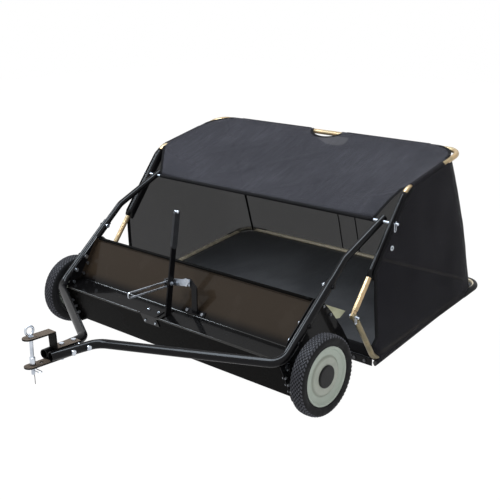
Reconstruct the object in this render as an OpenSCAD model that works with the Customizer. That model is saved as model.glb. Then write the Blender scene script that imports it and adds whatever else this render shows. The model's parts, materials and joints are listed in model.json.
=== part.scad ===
// Tow-behind lawn sweeper: brush housing on two driving wheels, draw bar with a pin hitch,
// and a tipping fabric hopper on folding tube frames.
// Heights and lengths are measured from the wheel axle: +Z up, -Y towards the tow vehicle.

/* [Wheels] */
// Outer diameter of the tyres
wheel_d = 280; // [260:1:300]
// Width of a tyre
tyre_w = 52; // [46:1:58]
// Clear gap between a side plate and its tyre
wheel_gap = 61.5; // [59:0.5:66]
// Diameter of the rim where it meets the tyre
rim_d = 204; // [200:1:212]
// Diameter of the black hub cap
hub_cap_d = 78; // [60:1:90]
// Diameter of the stub axles
axle_d = 16; // [14:1:18]

/* [Drive] */
// Teeth of the ring gear moulded into each rim
ring_teeth = 60; // [54:6:60]
// Teeth of the pinion on the brush shaft
pinion_teeth = 12; // [10:1:13]
// Tooth size (pitch diameter over teeth)
tooth_module = 3; // [2.8:0.1:3]
// Width of the gear teeth
gear_w = 14; // [10:1:16]

/* [Brush] */
// Diameter over the bristle tips
brush_d = 200; // [180:1:206]
// Diameter of the brush core tube
core_d = 52; // [46:1:60]
// Diameter of the brush shaft
shaft_d = 16; // [14:1:18]
// How far the brush axis lies below the wheel axle
brush_drop = 12; // [8:1:16]
// Rows of bristles round the core
brush_rows = 6; // [5:1:7]
// Strands in each row
row_strands = 60; // [50:1:64]
// Thickness of one strand
strand_t = 3; // [2.4:0.1:3.6]

/* [Housing] */
// Clear width between the side plates
housing_w = 1130; // [1110:1:1150]
// Thickness of the side plates
plate_t = 3; // [2:0.5:4]
// Thickness of the hood and skirt sheet
sheet_t = 1.5; // [1:0.1:2]
// How far the crease between skirt and ledge lies in front of the axle
crease_fwd = 97; // [94:1:102]
// Height of the crease over the axle
crease_h = 48; // [46:1:54]
// How far the knee between ledge and sloped panel lies in front of the axle
knee_fwd = 22; // [18:1:28]
// Height of the knee over the axle
knee_h = 67; // [64:1:72]
// How far the top edge of the sloped panel lies behind the axle
panel_back = 67; // [60:1:74]
// Height of the top edge of the sloped panel
panel_h = 213; // [206:1:218]
// How far the bottom edge of the skirt lies in front of the axle
skirt_fwd = 26; // [24:1:34]
// How far the bottom edge of the skirt lies below the axle
skirt_drop = 103; // [96:1:108]
// Width of the turned flanges at the ends of the sheets
flange_w = 16; // [14:1:20]

/* [Tubes] */
// Outer diameter of the draw tubes
draw_d = 32; // [30:0.5:34]
// Wall of the draw tubes
draw_wall = 2; // [1.5:0.1:2.5]
// Outer diameter of the upper arms
arm_d = 25.4; // [24:0.2:26]
// Bend radius of the draw tubes and arms
tube_bend = 62; // [56:1:68]
// How far the lower bend of the draw tubes lies in front of the axle
corner_fwd = 117; // [112:1:126]
// Height of the lower bend over the axle
corner_h = 55; // [50:1:62]
// How far the bend of the arms lies behind the axle
arm_bend_back = 204; // [196:1:212]
// Height of the bend of the arms
arm_bend_h = 335; // [328:1:342]
// Share of the run from lower bend to arm bend that the draw tube covers
sleeve_share = 0.78; // [0.74:0.01:0.82]

/* [Hitch] */
// How far the draw tubes' inner bend lies in front of the axle
neck_fwd = 426; // [410:1:440]
// Height of the hitch tubes over the axle
neck_h = 70; // [66:1:74]
// How far the draw tubes reach in front of the axle
tube_fwd = 604; // [590:1:616]
// Distance between the draw tubes' centres at the front
tube_pair = 35; // [35:0.5:40]
// Distance between the draw tubes' centres at the inner bend
neck_pair = 74; // [70:1:80]
// How far the draw pin lies in front of the axle
pin_fwd = 660; // [650:1:670]
// Diameter of the draw pin
pin_d = 12; // [10:0.5:14]
// Width of the hitch straps
strap_w = 40; // [36:1:46]
// Thickness of the hitch straps
strap_t = 5; // [4:0.5:6]
// Clear height between the two straps at the draw pin
jaw_h = 91; // [84:1:100]

/* [Height lever] */
// How far the lever's pivot lies in front of the axle
pivot_fwd = 66; // [64:1:68]
// Height of the lever's pivot over the axle
pivot_h = 25; // [22:1:28]
// Sideways place of the lever, towards the right wheel
lever_side = 15; // [10:1:25]
// Length of the lever from pivot to tip
lever_len = 404; // [380:1:420]
// Lean of the lever to the rear
lever_lean = 8.5; // [6:0.5:10]
// Width of the lever bar
lever_w = 27; // [24:1:28]
// Thickness of the lever bar
lever_t = 6; // [5:0.5:8]
// Height of the clamp bolt above the pivot, along the lever
bolt_up = 152; // [140:1:160]
// Diameter of the clamp bolt
bolt_d = 6; // [5:0.5:6.5]
// Length of the slotted strap in front of the lever
slot_len = 185; // [170:1:200]
// Height of the slotted strap
slot_bar = 25; // [23:1:28]
// Height of the slot
slot_w = 13.5; // [13:0.5:14.5]
// Length of the rubber grip
grip_len = 112; // [90:1:130]
// Diameter of the cross shaft
cross_d = 18; // [16:1:20]

/* [Hopper frames] */
// Outer diameter of the hopper tubes
hop_d = 20; // [18:0.5:22]
// How far the centres of the upper frame's posts lie outside the side plates
post_gap = 62; // [60:1:66]
// Bend radius of the hopper tubes
hop_bend = 55; // [48:1:60]
// How far the frame hinge lies behind the axle
hinge_back = 194; // [188:1:200]
// Height of the frame hinge over the axle
hinge_h = 143; // [138:1:148]
// How far the top of the posts lies behind the axle
post_back = 485; // [476:1:494]
// Height of the top of the posts
post_h = 531; // [522:1:540]
// How far the ridge lies behind the axle
ridge_back = 855; // [840:1:870]
// Height of the ridge
ridge_h = 620; // [608:1:632]
// How far the front of the hopper floor lies behind the axle
floor_back = 319; // [312:1:328]
// How far the front of the hopper floor lies below the axle
floor_drop = 50; // [44:1:54]
// How far the rear of the hopper floor lies behind the axle
rear_back = 1043; // [1028:1:1058]
// Height of the rear of the hopper floor over the axle
rear_h = 57; // [48:1:66]
// Diameter of the tipping rod
rod_d = 10; // [9:0.5:12]
// Distance of the tipping rod from the frame hinge, along the posts
rod_up = 356; // [350:1:362]

/* [Hopper fabric] */
// Thickness of the fabric panels
cloth_t = 2; // [1.5:0.5:3]
// Width of the hand opening at the ridge
grip_hole_w = 150; // [130:1:170]
// Depth of the hand opening
grip_hole_d = 42; // [36:1:50]
// How far the cut-out in a side panel reaches behind the hinge
cut_back = 108; // [100:1:116]

/* [Hidden] */
$fn = 48;
// Radial clearance of a shaft that turns in a hole
run_gap = 0.05;
// Gap between pieces that lie against each other
touch = 0.2;
// Gap round soft pieces
soft_gap = 0.4;
// Width of the cut that opens a bore or slot past its faces
past = 1;

axle_z = wheel_d / 2;
plate_x = housing_w / 2;
plate_out = plate_x + plate_t;
wheel_in = plate_out + wheel_gap;
wheel_x = wheel_in + tyre_w / 2;
track_w = 2 * (wheel_in + tyre_w);

crease = [-crease_fwd, crease_h];
knee = [-knee_fwd, knee_h];
panel_top = [panel_back, panel_h];
skirt_low = [-skirt_fwd, -skirt_drop];

// Gear centres: the wheel arms swing about the brush axis, so the mesh stays
ring_r = tooth_module * ring_teeth / 2;
pinion_r = tooth_module * pinion_teeth / 2;
gear_c = ring_r - pinion_r;
brush_at = [sqrt(gear_c * gear_c - brush_drop * brush_drop), -brush_drop];
mesh_angle = atan2(brush_at.y, brush_at.x);
addendum = 0.66 * tooth_module;
dedendum = 0.95 * tooth_module;
gear_x = wheel_in + 6;
rim_r = rim_d / 2;

// Draw tubes and arms
tube_x = plate_out + touch + draw_d / 2;
corner = [-corner_fwd, corner_h];
arm_bend = [arm_bend_back, arm_bend_h];
sleeve_end = corner + sleeve_share * (arm_bend - corner);
sleeve_in = 55;
sleeve_in_at = sleeve_end - sleeve_in * unit(arm_bend - corner);
tube_bolt_d = 8;
plate_bolts = [corner + 0.2 * (arm_bend - corner), corner + 0.36 * (arm_bend - corner)];
sleeve_bolt = sleeve_end - 20 * unit(arm_bend - corner);

// Hopper points
hinge = [hinge_back, hinge_h];
post_top = [post_back, post_h];
ridge = [ridge_back, ridge_h];
floor_front = [floor_back, -floor_drop];
floor_rear = [rear_back, rear_h];
rod_at = hinge + rod_up * unit(post_top - hinge);
post_x = plate_out + post_gap;
low_x = post_x + hop_d / 2;
hop_r = hop_d / 2;
eye_t = 6;
eye_r = hop_r + 1;
eye_run = 30;
hinge_pin_d = 8;
low_eye_x = post_x + eye_t / 2 + 1;
arm_tip = rod_at + 20 * unit(rod_at - arm_bend);

// Lever linkage
lever_pivot = [-pivot_fwd, pivot_h];
lever_dir = [sin(lever_lean), cos(lever_lean)];
lever_x = -lever_side;
clamp_at = lever_pivot + bolt_up * lever_dir;
strap_x1 = lever_x - lever_t / 2 - touch;
lock_t = 4;
strap_x0 = strap_x1 - lock_t;
crank_len = 48;
link_dir = unit(brush_at - lever_pivot);
crank_pin = lever_pivot + crank_len * link_dir;
crank_pin_d = 10;
crank_slack = 1.6;
wheel_arm_x = plate_out + 3;
wheel_arm_t = 6;
crank_x = wheel_arm_x + wheel_arm_t + 3;
crank_t = 6;
boss_d = 30;
cross_bush_d = 28;

// Hitch
strap_top = neck_h + draw_d / 2;
strap_under = neck_h - draw_d / 2;
jaw_top = strap_under + jaw_h;
hitch_front = pin_fwd + 30;
riser_fwd = tube_fwd - 26;
foot_fwd = 481;
clamp_bolts = [545, 497];
cross_bolts = [531, 473];
spare_fwd = 626;
spare_d = 13;
ring_d = 30;
ring_wire = 5;

front_y = -hitch_front;
rear_y = rear_back + hop_r;
mid_y = (front_y + rear_y) / 2;

black = [0.09, 0.09, 0.1];
zinc = [0.72, 0.75, 0.8];
yellow_zinc = [0.78, 0.69, 0.48];
cloth = [0.24, 0.25, 0.29];
rim_grey = [0.66, 0.69, 0.64];

function unit(v) = v / norm(v);
function yz3(x, p) = [x, p.x, p.y];
function right_of(a, b) = [b.y - a.y, a.x - b.x] / norm(b - a);
// Points of a path moved sideways by t, with mitred corners
function beside(p, t) = [for (i = [0:len(p) - 1])
    i == 0 ? p[0] + t * right_of(p[0], p[1])
    : i == len(p) - 1 ? p[i] + t * right_of(p[i - 1], p[i])
    : p[i] + t * (right_of(p[i - 1], p[i]) + right_of(p[i], p[i + 1]))
        / (1 + right_of(p[i - 1], p[i]) * right_of(p[i], p[i + 1]))];
function reversed(p) = [for (i = [len(p) - 1:-1:0]) p[i]];
function strip(p, t) = concat(p, reversed(beside(p, t)));

// Puts the wheels on the ground and the origin under the middle of the machine
module in_frame() translate([0, -mid_y, axle_z]) children();

// Left is the +X side, right its mirror image
module on_side(side) {
    if (side > 0) children();
    else mirror([1, 0, 0]) children();
}

// Extrudes a side view (y, z) from x0 to x1
module yz(x0, x1) translate([x0, 0, 0]) rotate([90, 0, 90]) linear_extrude(x1 - x0) children();

// Round bar along X
module x_rod(p, d, x0, x1) yz(x0, x1) translate(p) circle(d = d);

// Round bar between two points
module rod_between(p, q, r) {
    d = q - p;
    translate(p) rotate([0, acos(d.z / norm(d)), atan2(d.y, d.x)]) cylinder(r = r, h = norm(d));
}

// Quarter or part ring that joins two straight runs at a corner
module elbow(a, p, b, r, bend) {
    u = unit(p - a);
    v = unit(b - p);
    turn = acos(u * v);
    start = p - u * bend * tan(turn / 2);
    centre = p + unit(v - u) * bend / cos(turn / 2);
    e1 = unit(start - centre);
    e3 = cross(e1, u);
    multmatrix([[e1.x, u.x, e3.x, centre.x], [e1.y, u.y, e3.y, centre.y], [e1.z, u.z, e3.z, centre.z]])
        rotate_extrude(angle = turn) translate([bend, 0]) circle(r = r);
}

function setback(p, i, bend) = i == 0 || i == len(p) - 1 ? 0
    : bend * tan(acos(unit(p[i] - p[i - 1]) * unit(p[i + 1] - p[i])) / 2);

// Tube along a list of points with round bends; each run reaches a little into its elbows,
// which are a hair thicker, so that the solids fuse
run_lap = 1;
elbow_swell = 0.05;

module bent_tube(p, r, bend) {
    last = len(p) - 2;
    for (i = [0:last]) {
        u = unit(p[i + 1] - p[i]);
        from = p[i] + u * (i == 0 ? 0 : setback(p, i, bend) - run_lap);
        to = p[i + 1] - u * (i == last ? 0 : setback(p, i + 1, bend) - run_lap);
        rod_between(from, to, r);
    }
    for (i = [1:last]) elbow(p[i - 1], p[i], p[i + 1], r + elbow_swell, bend);
}

// Side view of a flat link with round ends; its sides start a little inside the end circles
link_waist = 0.98;

module link(a, ra, b, rb) {
    n = link_waist * right_of(a, b);
    translate(a) circle(r = ra);
    translate(b) circle(r = rb);
    polygon([a + ra * n, b + rb * n, b - rb * n, a - ra * n]);
}

// Lays a plan drawing (x, along) on the slope from a to b
module on_slope(a, b) {
    d = unit(b - a);
    multmatrix([[1, 0, 0, 0], [0, d.x, -d.y, a.x], [0, d.y, d.x, a.y]]) children();
}

// Bolt along X with its nut at x0 and its round head at x1
module x_bolt(p, d, x0, x1) {
    s = sign(x1 - x0);
    module part_x(from, to) yz(min(from, to), max(from, to)) translate(p) children();
    part_x(x0 - s * d, x1) circle(d = d);
    part_x(x1, x1 + s * 0.6 * d) circle(d = 2.1 * d);
    part_x(x0, x0 - s * 0.8 * d) circle(d = 1.9 * d, $fn = 6);
}

// Wire hairpin: straight leg through the pin, round back and a sprung leg
module hairpin(len, wire, gap) {
    rod_between([0, 0, 0], [len, 0, 0], wire / 2);
    translate([len, gap / 2, 0]) rotate([0, 0, -90]) rotate_extrude(angle = 180)
        translate([gap / 2, 0]) circle(d = wire);
    rod_between([len, gap, 0], [0.2 * len, gap, 0], wire / 2);
}

// Bolts through the flanges of hood and skirt, in the side view
flange_bolt_d = 6;
panel_n = -right_of(knee, panel_top);
ledge_n = -right_of(crease, knee);
skirt_n = right_of(crease, skirt_low);
flange_bolts = concat(
    [for (s = [0.12, 0.38]) knee + s * (panel_top - knee) + 0.6 * flange_w * panel_n],
    [crease + 0.4 * (knee - crease) + 0.6 * flange_w * ledge_n],
    [for (s = [0.36, 0.55, 0.74]) crease + s * (skirt_low - crease) + 0.6 * flange_w * skirt_n]);
rear_edge = [hinge_back - 75, panel_h - 18];
run_dir = unit(arm_bend - corner);
run_n = right_of(corner, arm_bend);
plate_lap = 12;
// The plate backs the skirt's flange, starts behind the draw tube's bend
// and then lies flat against the straight run
plate_outline = [skirt_low + flange_w * skirt_n + [2, -2], crease + flange_w * skirt_n + [4, -6],
    crease + [9, 10],
    corner + 68 * run_dir - plate_lap * run_n, corner + 0.58 * (arm_bend - corner) - plate_lap * run_n,
    panel_top + [24, 8], rear_edge, rear_edge + [40, -40], rear_edge + [105, -120],
    rear_edge + [143, -178], rear_edge + [143, -226], [brush_at.x + 130, -skirt_drop + 6],
    [brush_at.x + 105, -skirt_drop - 6]];
bracket_bolts = [rear_edge + [-7, -8], rear_edge + [32, -48]];
bearing_flange_d = 46;

module drill_x(points, d) for (p = points) x_rod(p, d + 2 * touch, -track_w, track_w);

// Housing

module side_plate(side) color(black) in_frame() on_side(side) difference() {
    yz(plate_x, plate_out) polygon(plate_outline);
    drill_x(concat(flange_bolts, bracket_bolts), flange_bolt_d);
    drill_x(plate_bolts, tube_bolt_d);
    x_rod(brush_at, boss_d + 2 * run_gap, plate_x - past, plate_out + past);
    x_rod(lever_pivot, cross_bush_d + 2 * run_gap, plate_x - past, plate_out + past);
}

// Flange turned outwards along one side of a bent sheet
module end_flange(side, path, w) on_side(side)
    yz(plate_x - touch - sheet_t, plate_x - touch) polygon(strip(path, w));

bead_d = 11;
sheet_end = plate_x - touch;
notch_fwd = crease_fwd - 4;
notch_back = knee_fwd + 6;

module hood_panel() color([0.2, 0.18, 0.16]) in_frame() difference() {
    union() {
        yz(-sheet_end, sheet_end) polygon(strip([crease, knee, panel_top], sheet_t));
        x_rod(panel_top, bead_d, -sheet_end, sheet_end);
        for (side = [1, -1]) end_flange(side, [crease, knee, panel_top], -flange_w);
    }
    translate([lever_x - lever_t / 2 - 3, -notch_fwd, crease_h - 12])
        cube([lever_t + 6, notch_fwd - notch_back, knee_h - crease_h + 24]);
    drill_x(flange_bolts, flange_bolt_d);
    for (x = post_bolt_x) on_slope(knee, panel_top) translate([x, post_bolt_up, -10])
        cylinder(d = post_bolt_d + 2 * touch, h = 20);
}

skirt_top = crease + (sheet_t + 3 * touch) * unit(skirt_low - crease) - touch * skirt_n;
lip_w = 14;

module front_skirt() color(black) in_frame() difference() {
    union() {
        yz(-sheet_end, sheet_end) polygon(strip([skirt_top, skirt_low, skirt_low + [lip_w, 4]], -sheet_t));
        for (side = [1, -1]) end_flange(side, [skirt_top, skirt_low], flange_w);
    }
    drill_x(flange_bolts, flange_bolt_d);
}

module sheet_bolts() color(zinc) in_frame() {
    for (side = [1, -1]) on_side(side) {
        for (p = flange_bolts) x_bolt(p, flange_bolt_d, plate_out + touch, plate_x - sheet_t - 2 * touch);
        for (p = bracket_bolts) x_bolt(p, flange_bolt_d, plate_out + touch, plate_x - stop_t - 2 * touch);
    }
    for (x = post_bolt_x) on_slope(knee, panel_top) translate([x, post_bolt_up, 0]) {
        translate([0, 0, -sheet_t - 6]) cylinder(d = post_bolt_d, h = foot_t + sheet_t + 6);
        translate([0, 0, foot_t + 2 * touch]) cylinder(d = 2 * post_bolt_d, h = 4);
        translate([0, 0, -sheet_t - 5 - touch]) cylinder(d = 1.9 * post_bolt_d, h = 5, $fn = 6);
    }
}

stop_t = 3;

module stop_bracket(side) color(yellow_zinc) in_frame() on_side(side) difference() {
    yz(plate_x - touch - stop_t, plate_x - touch) polygon([rear_edge + [-4, -1], rear_edge + [124, -61],
        rear_edge + [91, -78], rear_edge + [20, -66], rear_edge + [-22, -28]]);
    drill_x(bracket_bolts, flange_bolt_d);
}

module brush_bearings() color(zinc) in_frame() for (side = [1, -1]) on_side(side) difference() {
    union() {
        x_rod(brush_at, boss_d, plate_x - touch - 3, wheel_arm_x + wheel_arm_t + 2);
        x_rod(brush_at, bearing_flange_d, plate_x - touch - 3, plate_x - touch);
    }
    x_rod(brush_at, shaft_d + 2 * run_gap, plate_x - 10, plate_out + 30);
}

module cross_bushes() color(zinc) in_frame() for (side = [1, -1]) on_side(side) difference() {
    x_rod(lever_pivot, cross_bush_d, plate_x - 6, plate_out + 2);
    x_rod(lever_pivot, cross_d + 2 * run_gap, plate_x - 10, plate_out + 10);
}

// Draw bar

function draw_path(side) = [yz3(side * tube_x, sleeve_end), yz3(side * tube_x, corner),
    [side * neck_pair / 2, -neck_fwd, neck_h], [side * tube_pair / 2, -tube_fwd, neck_h]];
function pair_x(fwd) = (tube_pair + (neck_pair - tube_pair) * (tube_fwd - fwd) / (tube_fwd - neck_fwd)) / 2;
front_bore = 60;

module draw_tube(side) color(black) in_frame() on_side(side) difference() {
    bent_tube(draw_path(1), draw_d / 2, tube_bend);
    rod_between(yz3(tube_x, sleeve_end + (sleeve_end - sleeve_in_at) / sleeve_in),
        yz3(tube_x, sleeve_in_at), draw_d / 2 - draw_wall);
    rod_between([pair_x(tube_fwd + past), -tube_fwd - past, neck_h],
        [pair_x(tube_fwd - front_bore), -tube_fwd + front_bore, neck_h], draw_d / 2 - draw_wall);
    drill_x(concat(plate_bolts, [sleeve_bolt]), tube_bolt_d);
    drill_x([for (y = cross_bolts) [-y, neck_h]], tube_bolt_d);
}

module upper_arm(side) color(black) in_frame() on_side(side) difference() {
    bent_tube([yz3(tube_x, sleeve_in_at), yz3(tube_x, arm_bend), yz3(tube_x, arm_tip)], arm_d / 2, tube_bend);
    drill_x([sleeve_bolt], tube_bolt_d);
    x_rod(rod_at, rod_d + 2 * run_gap, tube_x - draw_d, tube_x + draw_d);
}

module frame_bolts() color(zinc) in_frame() for (side = [1, -1]) on_side(side) {
    for (p = plate_bolts) x_bolt(p, tube_bolt_d, tube_x + draw_d / 2 + touch, plate_x - touch);
    x_bolt(sleeve_bolt, tube_bolt_d, tube_x + draw_d / 2 + touch, tube_x - draw_d / 2 - touch);
}

module strap_holes(z) {
    for (y = clamp_bolts) translate([0, -y, z]) cylinder(d = tube_bolt_d + 2 * touch, h = 30, center = true);
    translate([0, -pin_fwd, z]) cylinder(d = pin_d + 2 * run_gap, h = 30, center = true);
}

// Round front end of a strap, seen from above
module strap_nose(z) translate([0, -hitch_front + strap_w / 2, z]) cylinder(d = strap_w, h = strap_t);

module hitch_strap_upper() color(black) in_frame() difference() {
    union() {
        yz(-strap_w / 2, strap_w / 2) polygon(strip([[-foot_fwd, strap_top + touch],
            [-riser_fwd, strap_top + touch], [-riser_fwd - 4, jaw_top],
            [-hitch_front + strap_w / 2, jaw_top]], strap_t));
        strap_nose(jaw_top);
    }
    strap_holes(strap_top + strap_t / 2);
    strap_holes(jaw_top + strap_t / 2);
}

module hitch_strap_lower() color(black) in_frame() difference() {
    union() {
        translate([-strap_w / 2, -hitch_front + strap_w / 2, strap_under - touch - strap_t])
            cube([strap_w, hitch_front - strap_w / 2 - foot_fwd, strap_t]);
        strap_nose(strap_under - touch - strap_t);
    }
    strap_holes(strap_under - strap_t / 2);
    translate([0, -spare_fwd, strap_under]) cylinder(d = spare_d, h = 30, center = true);
}

module hitch_bolts() color(zinc) in_frame() {
    for (y = clamp_bolts) translate([0, -y, 0]) {
        translate([0, 0, strap_under - strap_t - 12])
            cylinder(d = tube_bolt_d, h = draw_d + 2 * strap_t + 12);
        translate([0, 0, strap_top + strap_t + 2 * touch]) cylinder(d = 2 * tube_bolt_d, h = 5);
        translate([0, 0, strap_under - strap_t - 2 * touch - 7])
            cylinder(d = 1.9 * tube_bolt_d, h = 7, $fn = 6);
    }
    for (y = cross_bolts) {
        grip = pair_x(y - 1.05 * tube_bolt_d) + draw_d / 2 + 2 * touch;
        x_bolt([-y, neck_h], tube_bolt_d, -grip, grip);
    }
}

clip_wire = 3;
draw_clip_z = strap_under - strap_t - 12;

module draw_pin() color(zinc) in_frame() difference() {
    union() {
        translate([0, -pin_fwd, strap_under - strap_t - 26])
            cylinder(d = pin_d, h = jaw_h + 2 * strap_t + 34);
        translate([0, -pin_fwd, jaw_top + strap_t + touch]) cylinder(d = pin_d + 6, h = 3);
        translate([0, -pin_fwd - 4, jaw_top + strap_t + 8 + ring_d / 2]) rotate([90, 0, 90])
            rotate_extrude() translate([ring_d / 2, 0]) circle(d = ring_wire);
    }
    x_rod([-pin_fwd, draw_clip_z], clip_wire + 2 * touch, -pin_d, pin_d);
}

module draw_clip() color(zinc) in_frame()
    translate([-pin_d, -pin_fwd, draw_clip_z]) hairpin(3.4 * pin_d, clip_wire, pin_d / 2 + 2 * clip_wire);

// Height lever and its lock

post_bolt_d = 6;
foot_t = 3;
post_x0 = 75;
post_w = 26;
post_t = 5;
post_bolt_x = [post_x0 - 30, post_x0 + post_w + 21];
post_bolt_up = 13;
post_y = -knee_fwd + 2;
lock_z = clamp_at.y - 1;
lock_bolt_z = lock_z + 17;
lock_nut_d = 30;
leg_y1 = post_y - post_t - touch;
leg_y0 = leg_y1 - lock_t;
lock_bolt_x = 57;
lock_bolt_d = 8;

module lock_post() color(black) in_frame() difference() {
    union() {
        on_slope(knee, panel_top) translate([post_bolt_x[0] - 12, 4, touch])
            cube([post_bolt_x[1] - post_bolt_x[0] + 24, 20, foot_t]);
        translate([0, post_y, 0]) rotate([90, 0, 0]) linear_extrude(post_t) polygon([
            [post_x0, knee_h + 11], [post_x0 + post_w, knee_h + 11], [post_x0 + post_w, lock_bolt_z - 14],
            [lock_bolt_x + 14, lock_bolt_z + 12], [lock_bolt_x - 13, lock_bolt_z + 12],
            [lock_bolt_x - 13, lock_bolt_z - 6], [post_x0, lock_bolt_z - 22]]);
        translate([post_x0, post_y - post_t, knee_h + 11]) cube([post_w, post_t + 10, 9]);
    }
    on_slope(knee, panel_top) for (x = post_bolt_x) translate([x, post_bolt_up, -past])
        cylinder(d = post_bolt_d + 2 * touch, h = 12);
    on_slope(knee, panel_top) translate([0, 0, touch - 20]) cube([housing_w, 200, 40], center = true);
    translate([lock_bolt_x, post_y + past, lock_bolt_z]) rotate([90, 0, 0])
        cylinder(d = lock_bolt_d + 2 * touch, h = post_t + 2 * past);
}

slot_y0 = clamp_at.x - slot_len;
slot_y1 = leg_y0 - slot_bar / 2;

module lock_strap() color(zinc) in_frame() {
    difference() {
        union() {
            yz(strap_x0, strap_x1) {
                link([slot_y0, lock_z], slot_bar / 2, [slot_y1, lock_z], slot_bar / 2);
                translate([slot_y1, lock_z - slot_bar / 2]) square([leg_y1 - slot_y1, slot_bar]);
            }
            translate([0, leg_y1, 0]) rotate([90, 0, 0]) linear_extrude(lock_t) polygon([
                [strap_x0, lock_z - slot_bar / 2], [lock_bolt_x + 14, lock_bolt_z - slot_bar / 2],
                [lock_bolt_x + 14, lock_bolt_z + slot_bar / 2], [strap_x0, lock_z + slot_bar / 2]]);
        }
        yz(strap_x0 - past, strap_x1 + past)
            link([slot_y0, lock_z], slot_w / 2, [slot_y1 + 4, lock_z], slot_w / 2);
        translate([lock_bolt_x, leg_y1 + past, lock_bolt_z]) rotate([90, 0, 0])
            cylinder(d = lock_bolt_d + 2 * touch, h = lock_t + 2 * past);
    }
    translate([lock_bolt_x, leg_y1 + post_t + 8, lock_bolt_z]) rotate([90, 0, 0])
        cylinder(d = lock_bolt_d, h = post_t + lock_t + 12);
    translate([lock_bolt_x, leg_y0, lock_bolt_z]) rotate([90, 0, 0]) cylinder(d = lock_nut_d, h = 9, $fn = 6);
}

bracket_t = 3;
bracket_x0 = lever_x - lever_t / 2 - 105;
bracket_x1 = lever_x - lever_t / 2 - 22;
lever_bolt_x = [bracket_x0 + 14, bracket_x1 - 14];

module lever_bracket() color(black) in_frame() {
    run = 44;
    path = [crease + run * unit(knee - crease), crease, crease + run * unit(skirt_low - crease)];
    yz(bracket_x0, bracket_x1) polygon(strip(beside(path, touch), bracket_t));
    color(zinc) for (x = lever_bolt_x) {
        on_slope(crease, knee) translate([x, 0.65 * run, touch + bracket_t]) cylinder(d = 11, h = 4);
        on_slope(skirt_low, crease) translate([x, norm(crease - skirt_low) - 0.65 * run, touch + bracket_t])
            cylinder(d = 11, h = 4);
    }
}

lever_tip = lever_pivot + lever_len * lever_dir;
grip_from = lever_pivot + (lever_len - grip_len) * lever_dir;
grip_wall = 2.5;

module height_lever() color(black) in_frame()
    yz(lever_x - lever_t / 2, lever_x + lever_t / 2) difference() {
        link(lever_pivot, lever_w / 2, lever_tip, 0.4 * lever_w);
        translate(lever_pivot) circle(d = cross_d);
        translate(clamp_at) circle(d = bolt_d + 2 * run_gap);
    }

module lever_grip() color([0.16, 0.17, 0.19]) in_frame() difference() {
    yz(lever_x - lever_t / 2 - grip_wall, lever_x + lever_t / 2 + grip_wall)
        link(grip_from, lever_w / 2 - 1, lever_tip + 3 * lever_dir, lever_w / 2 - 1);
    yz(lever_x - lever_t / 2 - touch, lever_x + lever_t / 2 + touch)
        link(lever_pivot, lever_w / 2 + touch, lever_tip, 0.4 * lever_w + touch);
}

fork_run = crank_len + 3;

module cross_shaft() color(black) in_frame() {
    x_rod(lever_pivot, cross_d, -crank_x - crank_t - 2, crank_x + crank_t + 2);
    for (side = [1, -1]) on_side(side) yz(crank_x, crank_x + crank_t) difference() {
        link(lever_pivot, cross_d / 2 + 5, lever_pivot + fork_run * link_dir, crank_pin_d / 2 + 4);
        link(crank_pin - 7 * link_dir, crank_pin_d / 2 + crank_slack,
            crank_pin + 40 * link_dir, crank_pin_d / 2 + crank_slack);
    }
}

knob_len = 18;
knob_d = 30;

module clamp_bolt() color(zinc) in_frame() {
    x_rod(clamp_at, bolt_d, strap_x0 - knob_len - 4, lever_x + lever_t / 2);
    x_rod(clamp_at, 2.3 * bolt_d, lever_x + lever_t / 2, lever_x + lever_t / 2 + 4);
}

module lock_knob() color(black) in_frame() difference() {
    union() {
        x_rod(clamp_at, 0.6 * knob_d, strap_x0 - touch - knob_len, strap_x0 - touch);
        for (a = [0:60:300]) x_rod(clamp_at + 0.36 * knob_d * [cos(a), sin(a)], 0.28 * knob_d,
            strap_x0 - knob_len, strap_x0 - 7);
    }
    x_rod(clamp_at, bolt_d + 2 * run_gap, strap_x0 - 2 * knob_len, strap_x0 + past);
}

// Wheels and drive

hub_r = axle_d / 2 + 10;
hub_in = -12;
hub_out = 10;
shoulder_d = axle_d + 10;

module wheel_arm(side) color(black) in_frame() on_side(side) difference() {
    union() {
        yz(wheel_arm_x, wheel_arm_x + wheel_arm_t) {
            link(brush_at, boss_d / 2 + 8, [0, 0], axle_d / 2 + 9);
            link([0, 0], axle_d / 2 + 6, crank_pin, crank_pin_d / 2 + 3);
        }
        x_rod(crank_pin, crank_pin_d, wheel_arm_x + wheel_arm_t / 2, crank_x + crank_t + 3);
    }
    x_rod(brush_at, boss_d + 2 * run_gap, plate_out, crank_x);
    x_rod([0, 0], axle_d + 2 * run_gap, plate_out, crank_x);
}

module axle(side) color(zinc) in_frame() on_side(side) {
    x_rod([0, 0], axle_d, wheel_arm_x, wheel_x + hub_out + 8);
    x_rod([0, 0], shoulder_d, crank_x + crank_t + 3, wheel_x + hub_in - touch);
    yz(wheel_x + hub_out + touch, wheel_x + hub_out + 6) circle(d = 1.6 * axle_d, $fn = 6);
}

// Turns a section (radius, across) round the wheel axle
module turned() translate([wheel_x, 0, 0]) rotate([0, 90, 0]) rotate_extrude($fn = 96) children();

module tyre(side) color([0.1, 0.1, 0.1]) in_frame() on_side(side) turned() {
    half = tyre_w / 2;
    r = wheel_d / 2;
    difference() {
        polygon([[rim_r, -half + 6], [rim_r + 12, -half + 1], [rim_r + 20, -half], [r - 8, -half + 2],
            [r, -half + 8], [r, half - 8], [r - 8, half - 2], [rim_r + 20, half], [rim_r + 12, half - 1],
            [rim_r, half - 6]]);
        for (a = [-9, 0, 9]) translate([r - 4, a - 1.2]) square([10, 2.4]);
    }
}

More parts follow.
